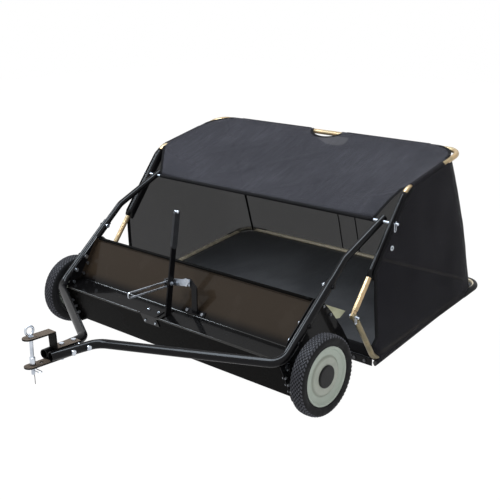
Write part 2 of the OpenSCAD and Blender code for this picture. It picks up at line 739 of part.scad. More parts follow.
function gear_points(teeth, r_root, r_tip, root_share, tip_share) = [for (i = [0:teeth - 1])
    for (k = [[r_root, -root_share], [r_tip, -tip_share], [r_tip, tip_share], [r_root, root_share]])
    k[0] * [cos(mesh_angle + (i + k[1]) * 360 / teeth), sin(mesh_angle + (i + k[1]) * 360 / teeth)]];

module rim(side) color(rim_grey) in_frame() on_side(side) {
    barrel_in = ring_r + dedendum + 1.5;
    half = tyre_w / 2;
    turned() polygon([[axle_d / 2 + run_gap, hub_in], [hub_r, hub_in], [hub_r, 5], [hub_r + 6, 5],
        [hub_cap_d / 2 - 8, 11], [hub_cap_d / 2, 13.5], [hub_cap_d / 2 + 23, 13.5], [hub_cap_d / 2 + 33, 8],
        [barrel_in - 5, 11], [barrel_in, 9], [barrel_in, -half + 4], [rim_r, -half + 4], [rim_r, half - 4],
        [rim_r - 7, half - 4], [barrel_in - 5, 15.5], [hub_cap_d / 2 + 33, 12.5], [hub_cap_d / 2 + 23, 18],
        [hub_cap_d / 2, 18], [hub_cap_d / 2 - 8, 16], [hub_r + 6, hub_out], [axle_d / 2 + run_gap, hub_out]]);
    yz(gear_x, gear_x + gear_w) difference() {
        circle(r = barrel_in + 1, $fn = 96);
        polygon(gear_points(ring_teeth, ring_r - addendum, ring_r + dedendum, 0.38, 0.28));
    }
}

module hub_cap(side) color(black) in_frame() on_side(side) turned() polygon([[0, 24.5],
    [hub_cap_d / 2 - 4, 24.5], [hub_cap_d / 2, 22], [hub_cap_d / 2, 18 + touch],
    [hub_cap_d / 2 - 4, 18 + touch], [hub_cap_d / 2 - 4, 22], [0, 22]]);

module pinion(side) color(zinc) in_frame() on_side(side) difference() {
    yz(gear_x, gear_x + gear_w) translate(brush_at)
        polygon(gear_points(pinion_teeth, pinion_r - dedendum, pinion_r + addendum, 0.24, 0.12));
    x_rod(brush_at, shaft_d + 2 * run_gap, gear_x - past, gear_x + gear_w + past);
}

module brush_shaft() color(zinc) in_frame()
    x_rod(brush_at, shaft_d, -gear_x - gear_w - 2, gear_x + gear_w + 2);

core_end = plate_x - 12;

module brush_core() color(black) in_frame() difference() {
    x_rod(brush_at, core_d, -core_end, core_end);
    x_rod(brush_at, shaft_d + 2 * run_gap, -plate_x, plate_x);
}

slat_h = 7;
slat_w = 16;

module brush_bristles() color([0.12, 0.12, 0.13]) in_frame() translate(yz3(0, brush_at)) {
    span = 2 * core_end - 30;
    step = span / row_strands;
    base = core_d / 2 + touch;
    resize([0, 0, 0]) for (i = [0:brush_rows - 1]) rotate([i * 360 / brush_rows, 0, 0]) {
        translate([-core_end + 8, -slat_w / 2, base]) cube([2 * core_end - 16, slat_w, slat_h]);
        for (j = [0:row_strands - 1])
            translate([-span / 2 + (j + 0.5) * step, (j % 2 - 0.5) * slat_w / 2, base + 2])
                cylinder(d = strand_t, h = brush_d / 2 - base - 2, $fn = 4);
    }
}

// Hopper

post_dir = unit(post_top - hinge);
leg_dir = unit(floor_front - hinge);

// Flat eye at the end of a hopper tube, from the hinge along dir
module eye(x0, x1, dir) yz(x0, x1) difference() {
    link(hinge, eye_r, hinge + eye_run * dir, hop_r - 1.5);
    translate(hinge) circle(d = hinge_pin_d + 2 * run_gap);
}

function both_sides(x, p) = concat([for (q = p) yz3(x, q)], [for (i = [len(p) - 1:-1:0]) yz3(-x, p[i])]);

module upper_frame() color(yellow_zinc) in_frame() difference() {
    union() {
        bent_tube(both_sides(post_x, [hinge + (eye_run - 8) * post_dir, post_top, ridge]), hop_r, hop_bend);
        for (side = [1, -1]) on_side(side) eye(post_x - eye_t / 2, post_x + eye_t / 2, post_dir);
    }
    x_rod(rod_at, rod_d + 2 * run_gap, -track_w, track_w);
}

module lower_frame() color(yellow_zinc) in_frame() {
    bent_tube(both_sides(low_x, [hinge + (eye_run - 8) * leg_dir, floor_front, floor_rear]), hop_r, hop_bend);
    for (side = [1, -1]) on_side(side) eye(low_eye_x, low_eye_x + eye_t, leg_dir);
}

small_clip_wire = 2.5;
clip_reach = 16;
rod_end = post_x + hop_r + clip_reach;
pin_end = low_eye_x + eye_t + clip_reach;

// Hole for a hairpin near the end of a pin or rod along X
module clip_hole(p, x) for (side = [1, -1]) translate([side * x, p.x, p.y])
    cylinder(d = small_clip_wire + 2 * touch, h = 40, center = true);

// Hairpins that hang through both ends of a pin along X
module side_clips(p, d, x) for (side = [1, -1]) on_side(side)
    translate([x, p.x, p.y + d]) rotate([0, 90, 180])
        hairpin(3.2 * d, small_clip_wire, d / 2 + 2 * small_clip_wire);

module tipping_rod() color(zinc) in_frame() difference() {
    x_rod(rod_at, rod_d, -rod_end, rod_end);
    clip_hole(rod_at, rod_end - clip_reach / 2);
}

module rod_clips() color(zinc) in_frame() side_clips(rod_at, rod_d, rod_end - clip_reach / 2);

module hinge_pins() color(zinc) in_frame() difference() {
    for (side = [1, -1]) on_side(side) {
        x_rod(hinge, hinge_pin_d, post_x - eye_t / 2 - 1, pin_end);
        x_rod(hinge, 2 * hinge_pin_d, post_x - eye_t / 2 - 5, post_x - eye_t / 2 - touch);
    }
    clip_hole(hinge, pin_end - clip_reach / 2);
}

module hinge_clips() color(zinc) in_frame() side_clips(hinge, hinge_pin_d, pin_end - clip_reach / 2);

sheet_x = post_x - hop_r - soft_gap - cloth_t;
hem_x = plate_x - 12;
roof_run = norm(ridge - post_top);
corner_cut_x = [post_x - 150, post_x - 45];
corner_cut_d = 44;

roof_x = sheet_x - soft_gap;
fold_x = post_x - 170;
fold_at = rod_at + (post_top.x - rod_at.x) / (ridge.x - rod_at.x) * (ridge - rod_at);
// Left half of the roof: end of the rod hem, post top, end of the ridge, and the fold inside the post top
roof_half = [yz3(hem_x, rod_at), yz3(roof_x, post_top), yz3(roof_x, ridge), yz3(fold_x, fold_at)];
roof_top = concat(roof_half, [for (p = roof_half) [-p.x, p.y, p.z]]);
roof_rim = [0, 1, 2, 6, 5, 4];

// Sheet that runs straight from rod to ridge and is lifted to the rails at its sides
module roof_cloth() polyhedron(
    concat(roof_top, [for (p = roof_top) p - [0, 0, cloth_t]]),
    concat([[0, 3, 1], [1, 3, 2], [5, 7, 4], [6, 7, 5], [0, 4, 7, 3], [3, 7, 6, 2],
        [9, 11, 8], [10, 11, 9], [12, 15, 13], [13, 15, 14], [8, 11, 15, 12], [10, 14, 15, 11]],
        [for (i = [0:5]) [roof_rim[i], roof_rim[(i + 1) % 6], 8 + roof_rim[(i + 1) % 6], 8 + roof_rim[i]]]));

module top_sheet() color(cloth) in_frame() difference() {
    union() {
        roof_cloth();
        x_rod(rod_at, rod_d + 2 * cloth_t + 2 * touch, -hem_x, hem_x);
        x_rod(ridge, hop_d + 2 * cloth_t + 2 * touch, -sheet_x + hop_bend, sheet_x - hop_bend);
    }
    x_rod(rod_at, rod_d + 2 * touch, -track_w, track_w);
    x_rod(ridge, hop_d + 2 * touch, -track_w, track_w);
    for (side = [1, -1]) on_side(side)
        on_slope(post_top, ridge) translate([corner_cut_x[0], roof_run - corner_cut_d, -40])
            cube([corner_cut_x[1] + 200, 120, 80]);
    on_slope(post_top, ridge) translate([0, roof_run + grip_hole_w - grip_hole_d, 0])
        cylinder(r = grip_hole_w, h = 80, center = true);
}

rear_dir = unit(floor_rear - ridge);
rear_top = ridge + (hop_r + cloth_t + 2 * soft_gap) * rear_dir;
rear_low = floor_rear - (hop_r + 6 * soft_gap) * rear_dir;

module rear_panel() color(cloth) in_frame()
    yz(-sheet_x + soft_gap, sheet_x - soft_gap) polygon(strip([rear_top, rear_low], cloth_t));

floor_up = -soft_gap * right_of(floor_front, floor_rear);
// The side panels hang outside the lower frame's tubes and start behind the posts
side_x = low_x + hop_r + soft_gap;
behind_post = 14 * right_of(hinge, post_top);
cut_top = hinge + 158 * post_dir + behind_post;
cut_low = [hinge_back + cut_back + 9, -14];
cut_front = floor_front + (cut_low.y - floor_front.y) / (hinge.y - floor_front.y) * (hinge - floor_front);
cut_round = 8;

module side_panel(side) color(cloth) in_frame() on_side(side) yz(side_x, side_x + cloth_t)
    polygon([cut_top, post_top + behind_post, ridge, floor_rear + floor_up, floor_front + floor_up,
        cut_front, cut_low - [cut_round, 0], cut_low + [0, cut_round]]);

eyelet_at = rod_at - 80 * post_dir + 26 * right_of(hinge, post_top);

module eyelets() color(zinc) in_frame() for (side = [1, -1]) on_side(side)
    yz(side_x + cloth_t + touch / 2, side_x + cloth_t + 2) translate(eyelet_at) difference() {
        circle(d = 18);
        circle(d = 9);
    }

floor_dir = unit(floor_rear - floor_front);
floor_x = low_x - hop_r - soft_gap;

floor_run = norm(floor_rear - floor_front) - hop_r - soft_gap;
floor_bend = hop_bend - hop_r;

// The rear corners are cut across inside the lower frame's bends
module floor_sheet() color([0.2, 0.21, 0.24]) in_frame() on_slope(floor_front, floor_rear)
    translate([0, 0, -cloth_t]) linear_extrude(cloth_t)
        polygon([[-floor_x, bar_t], [floor_x, bar_t],
            [floor_x, floor_run - floor_bend], [floor_x - floor_bend, floor_run],
            [floor_bend - floor_x, floor_run], [-floor_x, floor_run - floor_bend]]);

bar_h = 26;
bar_t = 3;
bar_at = floor_front - [0, bar_h + cloth_t + touch];
bar_flange = 48;
bar_x = low_x - hop_r;

module front_bar() color(black) in_frame() difference() {
    yz(-bar_x, bar_x)
        polygon(strip([bar_at, bar_at + [0, bar_h], bar_at + [0, bar_h] + bar_flange * floor_dir], bar_t));
    drill_bar();
}

bar_bolt_x = [floor_x - 30, floor_x - 75];
bar_bolt_d = 6;

module drill_bar() for (side = [1, -1], x = bar_bolt_x) translate([side * x, bar_at.x, bar_at.y + bar_h / 2])
    rotate([90, 0, 0]) cylinder(d = bar_bolt_d + 2 * touch, h = 40, center = true);

module bar_bolts() color(zinc) in_frame() for (side = [1, -1], x = bar_bolt_x)
    translate([side * x, bar_at.x, bar_at.y + bar_h / 2]) rotate([90, 0, 0]) {
        translate([0, 0, -12]) cylinder(d = bar_bolt_d, h = 16);
        translate([0, 0, touch]) cylinder(d = 2 * bar_bolt_d, h = 4);
    }

side_plate(1);  // side_plate_left
side_plate(-1);  // side_plate_right
hood_panel();
front_skirt();
draw_tube(1);  // draw_tube_left
draw_tube(-1);  // draw_tube_right
upper_arm(1);  // upper_arm_left
upper_arm(-1);  // upper_arm_right
frame_bolts();
sheet_bolts();
hitch_strap_upper();
hitch_strap_lower();
hitch_bolts();
stop_bracket(1);  // stop_bracket_left
stop_bracket(-1);  // stop_bracket_right
lever_bracket();
lock_post();
lock_strap();
brush_bearings();
cross_bushes();
height_lever();
lever_grip();
cross_shaft();
clamp_bolt();
lock_knob();
wheel_arm(1);  // wheel_arm_left
wheel_arm(-1);  // wheel_arm_right
axle(1);  // axle_left
axle(-1);  // axle_right
tyre(1);  // tyre_left
tyre(-1);  // tyre_right
rim(1);  // rim_left
rim(-1);  // rim_right
hub_cap(1);  // hub_cap_left
hub_cap(-1);  // hub_cap_right
pinion(1);  // pinion_left
pinion(-1);  // pinion_right
brush_shaft();
brush_core();
brush_bristles();
upper_frame();
tipping_rod();
rod_clips();
top_sheet();
rear_panel();
side_panel(1);  // side_panel_left
side_panel(-1);  // side_panel_right
eyelets();
lower_frame();
front_bar();
bar_bolts();
floor_sheet();
hinge_pins();
hinge_clips();
draw_pin();
draw_clip();
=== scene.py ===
"""Dresses a tow-behind lawn sweeper: paint, plating, rubber, bristles and a fabric hopper on its frame."""

from __future__ import annotations

import json
import logging
import math
from collections.abc import Callable, Iterable, Mapping, Sequence
from dataclasses import dataclass, field
from enum import Enum

import bmesh
import bpy
import numpy as np
from mathutils import Matrix, Vector, noise

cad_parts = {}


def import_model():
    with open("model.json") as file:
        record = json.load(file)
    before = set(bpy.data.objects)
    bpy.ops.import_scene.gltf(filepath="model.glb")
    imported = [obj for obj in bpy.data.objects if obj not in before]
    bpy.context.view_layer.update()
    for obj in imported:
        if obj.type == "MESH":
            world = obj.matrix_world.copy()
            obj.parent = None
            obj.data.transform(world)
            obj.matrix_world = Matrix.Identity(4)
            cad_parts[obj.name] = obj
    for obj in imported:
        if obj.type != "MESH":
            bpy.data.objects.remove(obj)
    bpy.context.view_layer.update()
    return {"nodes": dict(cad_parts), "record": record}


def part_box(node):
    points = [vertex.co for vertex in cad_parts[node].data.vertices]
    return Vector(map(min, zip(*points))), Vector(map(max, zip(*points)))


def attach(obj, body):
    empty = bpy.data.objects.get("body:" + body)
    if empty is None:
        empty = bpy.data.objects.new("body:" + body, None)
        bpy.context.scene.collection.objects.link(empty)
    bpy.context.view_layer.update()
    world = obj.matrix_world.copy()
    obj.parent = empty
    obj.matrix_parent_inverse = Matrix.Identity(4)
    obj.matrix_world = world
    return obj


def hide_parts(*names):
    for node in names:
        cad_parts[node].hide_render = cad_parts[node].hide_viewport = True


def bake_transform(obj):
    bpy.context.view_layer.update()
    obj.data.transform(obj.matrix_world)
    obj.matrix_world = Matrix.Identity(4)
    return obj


logging.basicConfig(level=logging.INFO, format="%(message)s")
log = logging.getLogger("sweeper")

Colour = tuple[float, float, float]
Point = tuple[float, float, float]
Pair = tuple[float, float]
Faces = list[tuple[int, ...]]
MM = 0.001
ACROSS = np.array([1.0, 0.0, 0.0])
SIDES = (("left", 1.0), ("right", -1.0))


class Sock:
    """A shader socket that takes part in Python arithmetic."""

    def __init__(self, nodes: Nodes, socket: bpy.types.NodeSocket | None) -> None:
        """Keeps the socket and the tree that it belongs to."""
        self.nodes = nodes
        self.socket = socket

    def _math(self, operation: str, *values: Sock | float) -> Sock:
        """Adds one Math node.

        Args:
            operation: The Math node's operation.
            values: Its inputs in order.

        Returns:
            The node's output.
        """
        return self.nodes.node("ShaderNodeMath", {"operation": operation}, dict(enumerate(values)))

    def __add__(self, other: Sock | float) -> Sock:
        """Sum of two values."""
        return self._math("ADD", self, other)

    __radd__ = __add__

    def __sub__(self, other: Sock | float) -> Sock:
        """Difference of two values."""
        return self._math("SUBTRACT", self, other)

    def __rsub__(self, other: Sock | float) -> Sock:
        """Difference of a number and this value."""
        return self._math("SUBTRACT", other, self)

    def __mul__(self, other: Sock | float) -> Sock:
        """Product of two values."""
        return self._math("MULTIPLY", self, other)

    __rmul__ = __mul__

    def __truediv__(self, other: Sock | float) -> Sock:
        """Quotient of two values."""
        return self._math("DIVIDE", self, other)

    def __pow__(self, other: Sock | float) -> Sock:
        """Power of a value."""
        return self._math("POWER", self, other)

    def __abs__(self) -> Sock:
        """Size of a value without its sign."""
        return self._math("ABSOLUTE", self)

    def sine(self) -> Sock:
        """Sine of an angle in radians."""
        return self._math("SINE", self)

    def higher_of(self, other: Sock | float) -> Sock:
        """The larger of two values."""
        return self._math("MAXIMUM", self, other)

    def ramp(self, low: float, high: float) -> Sock:
        """Smooth step of this value.

        Args:
            low: Value that gives 0.
            high: Value that gives 1.

        Returns:
            A value from 0 to 1.
        """
        return self.nodes.node(
            "ShaderNodeMapRange",
            {"interpolation_type": "SMOOTHSTEP"},
            {"Value": self, "From Min": low, "From Max": high},
        )


class Nodes:
    """A material's node tree with its shader, and one method that adds any node."""

    def __init__(self, tree: bpy.types.NodeTree) -> None:
        """Empties the tree."""
        self.tree = tree
        tree.nodes.clear()

    def node(
        self,
        kind: str,
        settings: Mapping[str, object] | None = None,
        inputs: Mapping[str | int, object] | None = None,
        out: str | int = 0,
    ) -> Sock:
        """Adds a node.

        Args:
            kind: The node's type.
            settings: Attributes, set first.
            inputs: Values or links of its sockets, by name or number.
            out: The output that is returned.

        Returns:
            That output.
        """
        made = self.tree.nodes.new(kind)
        for name, value in (settings or {}).items():
            setattr(made, name, value)
        for name, value in (inputs or {}).items():
            if isinstance(value, Sock):
                self.tree.links.new(value.socket, made.inputs[name])
            else:
                made.inputs[name].default_value = value
        return Sock(self, made.outputs[out] if made.outputs else None)

    def place(self) -> Sock:
        """Where a point lies in the frame, in metres."""
        return self.node("ShaderNodeTexCoord", out="Object")

    def split(self, vector: Sock) -> tuple[Sock, ...]:
        """The three coordinates of a vector."""
        made = self.node("ShaderNodeSeparateXYZ", inputs={0: vector}).socket.node
        return tuple(Sock(self, part) for part in made.outputs)

    def uv(self) -> tuple[Sock, ...]:
        """The two cloth coordinates of a woven piece, in metres."""
        return self.split(self.node("ShaderNodeTexCoord", out="UV"))[:2]

    def xyz(self) -> tuple[Sock, ...]:
        """The three coordinates of a point in the frame, in metres."""
        return self.split(self.place())

    def facing_up(self) -> Sock:
        """1 where a surface looks straight up, 0 where it stands upright."""
        return self.split(self.node("ShaderNodeNewGeometry", out="Normal"))[2]

    def noise(self, scale: float, detail: float = 3.0, stretch: Point = (1, 1, 1)) -> Sock:
        """Cloudy pattern.

        Args:
            scale: Clouds per metre.
            detail: Octaves.
            stretch: Scale of the coordinates along each axis.

        Returns:
            A value around 0.5.
        """
        at = self.node("ShaderNodeMapping", inputs={"Vector": self.place(), "Scale": stretch})
        return self.node("ShaderNodeTexNoise", inputs={"Vector": at, "Scale": scale, "Detail": detail})

    def mix(self, share: Sock | float, a: Sock | Colour, b: Sock | Colour) -> Sock:
        """Colour between two.

        Args:
            share: 0 gives a, 1 gives b.
            a: First colour.
            b: Second colour.

        Returns:
            The mixed colour.
        """
        ends = [v if isinstance(v, Sock) else (*v, 1.0) for v in (a, b)]
        return self.node("ShaderNodeMix", {"data_type": "RGBA"}, {0: share, 6: ends[0], 7: ends[1]}, 2)

    def bump(self, height: Sock, depth: float) -> Sock:
        """Normal of a relief.

        Args:
            height: The relief's height from 0 to 1.
            depth: Its depth in metres.

        Returns:
            The bent normal.
        """
        return self.node("ShaderNodeBump", inputs={"Height": height, "Distance": depth, "Strength": 1.0})

    def surface(self, **inputs: object) -> None:
        """Ends the tree in a Principled shader.

        Args:
            inputs: Values or links of its sockets, where _ stands for a space.
        """
        named = {name.replace("_", " "): value for name, value in inputs.items()}
        for name, value in named.items():
            if isinstance(value, tuple) and len(value) == 3:
                named[name] = (*value, 1.0)
        shader = self.node("ShaderNodeBsdfPrincipled", inputs=named)
        self.node("ShaderNodeOutputMaterial", inputs={"Surface": shader})


class Finish:
    """A surface finish that makes its material once."""

    name: str

    def paint(self, nodes: Nodes) -> None:
        """Fills a material's node tree.

        Args:
            nodes: The material's nodes.
        """
        raise NotImplementedError

    def material(self) -> bpy.types.Material:
        """Finds the finish's material, and makes it on first use.

        Returns:
            The material.
        """
        name = f"{self.name}_finish"
        found = bpy.data.materials.get(name)
        if found:
            return found
        made = bpy.data.materials.new(name)
        made.use_nodes = True
        self.paint(Nodes(made.node_tree))
        return made


@dataclass(frozen=True)
class GlossPaint(Finish):
    """Powder coat on steel: orange peel, faint dust, a clear layer and, if asked, a low colour painted as
    shade below given heights and a top colour painted as a highlight on faces that look up.
    """

    name: str
    colour: Colour
    dust: Colour = (0.03, 0.029, 0.028)
    rough: float = 0.22
    coat: float = 0.2
    shine: float = 0.5
    index: float = 1.1
    peel: float = 420.0
    peel_depth: float = 0.12 * MM
    dust_scale: float = 7.0
    dust_share: float = 0.3
    # Painted shade: the colour below the given heights, which darkens the hood below its knee.
    low: Colour = (0.0032, 0.0032, 0.0036)
    painted_shade_heights: Pair | None = None
    # Painted highlight: the colour of faces that look up.
    top: Colour | None = None

    def paint(self, nodes: Nodes) -> None:
        """Fills a material's node tree.

        Args:
            nodes: The material's nodes.
        """
        cloud = nodes.noise(self.dust_scale, 5.0)
        grain = nodes.noise(self.peel, 2.0)
        settled = cloud.ramp(0.52, 0.8) * self.dust_share
        base = nodes.mix(settled, self.colour, self.dust)
        # Painted shade: below the given heights the colour turns to the low colour, through a band painted as
        # a dark reflection.
        if self.painted_shade_heights:
            base = nodes.mix(nodes.xyz()[2].ramp(*self.painted_shade_heights), self.low, base)
        # Painted highlight: faces that look up take the top colour.
        if self.top:
            base = nodes.mix(nodes.facing_up().ramp(0.6, 0.95), base, self.top)
        nodes.surface(
            Base_Color=base,
            Roughness=self.rough + cloud.ramp(0.35, 0.75) * 0.14 + (grain - 0.5) * 0.08,
            Coat_Weight=self.coat,
            Coat_Roughness=0.05,
            Specular_IOR_Level=self.shine,
            IOR=self.index,
            Normal=nodes.bump(grain, self.peel_depth),
        )


@dataclass(frozen=True)
class ZincPlate(Finish):
    """Zinc plating: brushed grain, colour drift, dull patches and, if asked, a paler rear colour painted as a
    highlight and a dark outer colour.
    """

    name: str
    colour: Colour
    drift: Colour
    rough: float = 0.27
    metal: float = 1.0
    brushing: float = 900.0
    brush_depth: float = 0.06 * MM
    dark_beyond: float | None = None
    dark_run: float = 2 * MM
    dark: Colour = (0.012, 0.012, 0.013)
    # Painted highlight: a paler colour towards the rear, from a given place along the machine.
    rear: Colour | None = None
    painted_highlight_from: float = 0.0
    rear_run: float = 30 * MM

    def paint(self, nodes: Nodes) -> None:
        """Fills a material's node tree.

        Args:
            nodes: The material's nodes.
        """
        cloud = nodes.noise(26.0, 4.0)
        grain = nodes.noise(self.brushing, 2.0, (1.0, 1.0, 0.25))
        base = nodes.mix(cloud.ramp(0.38, 0.66), self.colour, self.drift)
        # Painted highlight: towards the rear the colour turns paler.
        if self.rear:
            painted_highlight_share = nodes.xyz()[1].ramp(self.painted_highlight_from, self.painted_highlight_from + self.rear_run)
            base = nodes.mix(painted_highlight_share, base, self.rear)
        if self.dark_beyond:
            outside = abs(nodes.xyz()[0]).ramp(self.dark_beyond, self.dark_beyond + self.dark_run)
            base = nodes.mix(outside, base, self.dark)
        nodes.surface(
            Base_Color=base,
            Metallic=self.metal,
            Roughness=self.rough + cloud.ramp(0.4, 0.7) * 0.16 + (grain - 0.5) * 0.1,
            Normal=nodes.bump(grain, self.brush_depth),
        )


@dataclass(frozen=True)
class Rubber(Finish):
    """Matt black rubber with dusty scuffs."""

    name: str
    colour: Colour
    scuff: Colour
    rough: float = 0.62
    scuff_share: float = 0.6
    grain: float = 1400.0
    grain_depth: float = 0.18 * MM

    def paint(self, nodes: Nodes) -> None:
        """Fills a material's node tree.

        Args:
            nodes: The material's nodes.
        """
        cloud = nodes.noise(38.0, 5.0)
        grain = nodes.noise(self.grain, 2.0)
        nodes.surface(
            Base_Color=nodes.mix(cloud.ramp(0.5, 0.78) * self.scuff_share, self.colour, self.scuff),
            Roughness=self.rough + cloud.ramp(0.3, 0.7) * 0.2,
            Specular_IOR_Level=0.2,
            Normal=nodes.bump(grain, self.grain_depth),
        )


@dataclass(frozen=True)
class MouldedPlastic(Finish):
    """Moulded plastic: spark-eroded grain and, if asked, a round groove with a ring of painted shade and a
    paler dish outside it, and an inner side darkened as painted shade.
    """

    name: str
    colour: Colour
    shade: Colour
    rough: float = 0.42
    shine: float = 0.4
    grain: float = 1100.0
    grain_depth: float = 0.1 * MM
    # Painted shade: within this half width the inner side turns dark.
    painted_shade_within: float | None = None
    dark_run: float = 4 * MM
    dark: Colour = (0.008, 0.008, 0.009)
    groove: Point | None = None
    dish: Colour = (0.44, 0.51, 0.45)
    dish_run: float = 5 * MM
    # Painted shade: the colour of a dark ring along the groove.
    painted_groove_shade: Colour = (0.17, 0.19, 0.155)
    painted_groove_shade_half: float = 6 * MM

    def paint(self, nodes: Nodes) -> None:
        """Fills a material's node tree.

        Args:
            nodes: The material's nodes.
        """
        cloud = nodes.noise(22.0, 4.0)
        grain = nodes.noise(self.grain, 2.0)
        base = nodes.mix(cloud.ramp(0.4, 0.75) * 0.5, self.colour, self.shade)
        if self.groove:
            along, up, radius = self.groove
            _, y, z = nodes.xyz()
            far = ((y - along) ** 2.0 + (z - up) ** 2.0) ** 0.5
            base = nodes.mix(far.ramp(radius, radius + self.dish_run) * 0.6, base, self.dish)
            # Painted shade: a dark ring along the groove.
            base = nodes.mix((1.0 - abs(far - radius).ramp(0.0, self.painted_groove_shade_half)) * 0.5, base, self.painted_groove_shade)
        # Painted shade: the inner side darkens.
        if self.painted_shade_within:
            outside = abs(nodes.xyz()[0]).ramp(self.painted_shade_within, self.painted_shade_within + self.dark_run)
            base = nodes.mix(outside, self.dark, base)
        nodes.surface(
            Base_Color=base,
            Roughness=self.rough + cloud.ramp(0.35, 0.7) * 0.12,
            Specular_IOR_Level=self.shine,
            Normal=nodes.bump(grain, self.grain_depth),
        )


@dataclass(frozen=True)
class MeshCloth(Finish):
    """Coated open weave: crossing threads with pores between them."""

    name: str
    thread: Colour
    worn: Colour
    pitch: float = 2.4 * MM
    cover: float = 0.82
    pore: float = 0.32
    thread_depth: float = 0.5 * MM

    def paint(self, nodes: Nodes) -> None:
        """Fills a material's node tree.

        Args:
            nodes: The material's nodes.
        """
        u, v = nodes.uv()
        turn = math.pi / self.pitch
        warp = abs((u * turn).sine())
        weft = abs((v * turn).sine())
        threads = warp.higher_of(weft)
        over = (u * turn).sine() * (v * turn).sine()
        cloud = nodes.noise(5.0, 5.0)
        streak = nodes.noise(60.0, 3.0, (1.0, 0.15, 0.15))
        tone = 0.2 + cloud.ramp(0.36, 0.7) * 0.22 + (streak - 0.5) * 0.5
        nodes.surface(
            Base_Color=nodes.mix(tone * (0.55 + threads * 0.45), self.thread, self.worn),
            Roughness=0.52 + (1.0 - threads) * 0.3,
            Alpha=(self.cover - self.pore) + threads.ramp(0.25, 0.75) * self.pore,
            Specular_IOR_Level=0.04,
            Normal=nodes.bump(threads * 0.7 + over * 0.3, self.thread_depth),
        )


@dataclass(frozen=True)
class CoatedSheet(Finish):
    """Smooth coated fabric with soft handling creases and a dull shine."""

    name: str
    colour: Colour
    worn: Colour
    rough: float = 0.34
    shine: float = 0.3
    pitch: float = 1.6 * MM
    crease_depth: float = 6 * MM

    def paint(self, nodes: Nodes) -> None:
        """Fills a material's node tree.

        Args:
            nodes: The material's nodes.
        """
        u, v = nodes.uv()
        cloud = nodes.noise(4.0, 4.0)
        crease = nodes.noise(11.0, 4.0, (1.0, 0.5, 1.0))
        turn = math.pi / self.pitch
        weave = abs((u * turn).sine()) * abs((v * turn).sine())
        nodes.surface(
            Base_Color=nodes.mix(cloud.ramp(0.36, 0.72), self.colour, self.worn),
            Roughness=self.rough + cloud.ramp(0.3, 0.7) * 0.2 + weave * 0.05,
            Specular_IOR_Level=self.shine,
            Normal=nodes.bump(crease + weave * 0.01, self.crease_depth),
        )


@dataclass(frozen=True)
class Bristle(Finish):
    """Black nylon strands with paler, worn tips."""

    name: str
    colour: Colour
    tip: Colour
    axis_y: float
    axis_z: float
    reach: float

    def paint(self, nodes: Nodes) -> None:
        """Fills a material's node tree.

        Args:
            nodes: The material's nodes.
        """
        _, y, z = nodes.xyz()
        out = ((y - self.axis_y) ** 2.0 + (z - self.axis_z) ** 2.0) ** 0.5
        cloud = nodes.noise(240.0, 2.0)
        nodes.surface(
            Base_Color=nodes.mix((out / self.reach).ramp(0.72, 1.0) * 0.7, self.colour, self.tip),
            Roughness=0.35 + cloud * 0.25,
        )


class Body(Enum):
    """The bodies of the frame that pieces ride on."""

    ROOT = "root"
    LEVER = "lever"
    BRUSH = "brush"
    UPPER = "hopper_upper"
    LOWER = "hopper_lower"
    LEFT_WHEEL = "left_wheel"
    RIGHT_WHEEL = "right_wheel"
    PIN = "hitch_pin"


def new_piece(
    name: str,
    points: np.ndarray,
    faces: Sequence[Sequence[int]],
    finish: Finish,
    flat: np.ndarray | None = None,
    smooth: bool = True,
) -> bpy.types.Object:
    """Makes a mesh object in the frame.

    Args:
        name: The piece's name.
        points: Its vertices in metres.
        faces: Vertex numbers of each face.
        finish: Its finish.
        flat: Cloth coordinates of each vertex in metres, if it is woven.
        smooth: Whether its faces shade smoothly.

    Returns:
        The new object.
    """
    mesh = bpy.data.meshes.new(name)
    mesh.from_pydata([tuple(p) for p in points], [], [tuple(f) for f in faces])
    mesh.validate()
    mesh.polygons.foreach_set("use_smooth", [smooth] * len(mesh.polygons))
    if flat is not None:
        layer = mesh.uv_layers.new(name="cloth")
        for loop in mesh.loops:
            layer.data[loop.index].uv = flat[loop.vertex_index]
    mesh.materials.append(finish.material())
    piece = bpy.data.objects.new(name, mesh)
    bpy.context.scene.collection.objects.link(piece)
    return piece


def tie(piece: bpy.types.Object, body: Body, slot: str, *nodes: str) -> None:
    """Ties a piece to a body.

    Args:
        piece: The piece.
        body: The body that it rides on.
        slot: The record's material slot; not used.
        nodes: Nodes that it stands for.
    """
    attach(piece, body.value)
    if nodes:
        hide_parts(*nodes)
    log.info("%s rides on %s", piece.name, body.value)


def settle(piece: bpy.types.Object) -> bpy.types.Object:
    """Turns a piece's modifiers into its mesh.

    Args:
        piece: The piece.

    Returns:
        The same piece with no modifiers.
    """
    graph = bpy.context.evaluated_depsgraph_get()
    made = bpy.data.meshes.new_from_object(piece.evaluated_get(graph))
    old = piece.data
    piece.modifiers.clear()
    piece.data = made
    made.name = piece.name
    bpy.data.meshes.remove(old)
    return piece


def thicken(piece: bpy.types.Object, thickness: float) -> bpy.types.Object:
    """Gives a sheet its thickness.

    Args:
        piece: The open sheet.
        thickness: Thickness in metres.

    Returns:
        The same piece as a closed sheet.
    """
    shell = piece.modifiers.new("thickness", "SOLIDIFY")
    shell.thickness = thickness
    shell.offset = 0.0
    return settle(piece)


def ring_faces(rings: int, sides: int, first: int = 0, closed: bool = False) -> Faces:
    """Faces between rings of points.

    Args:
        rings: Number of rings.
        sides: Points in each ring.
        first: Number of the first point.
        closed: Whether the last ring joins the first.

    Returns:
        Four vertex numbers for each face.
    """
    faces: Faces = []
    for i in range(rings if closed else rings - 1):
        a, b = first + i * sides, first + (i + 1) % rings * sides
        faces += [(a + k, a + (k + 1) % sides, b + (k + 1) % sides, b + k) for k in range(sides)]
    return faces


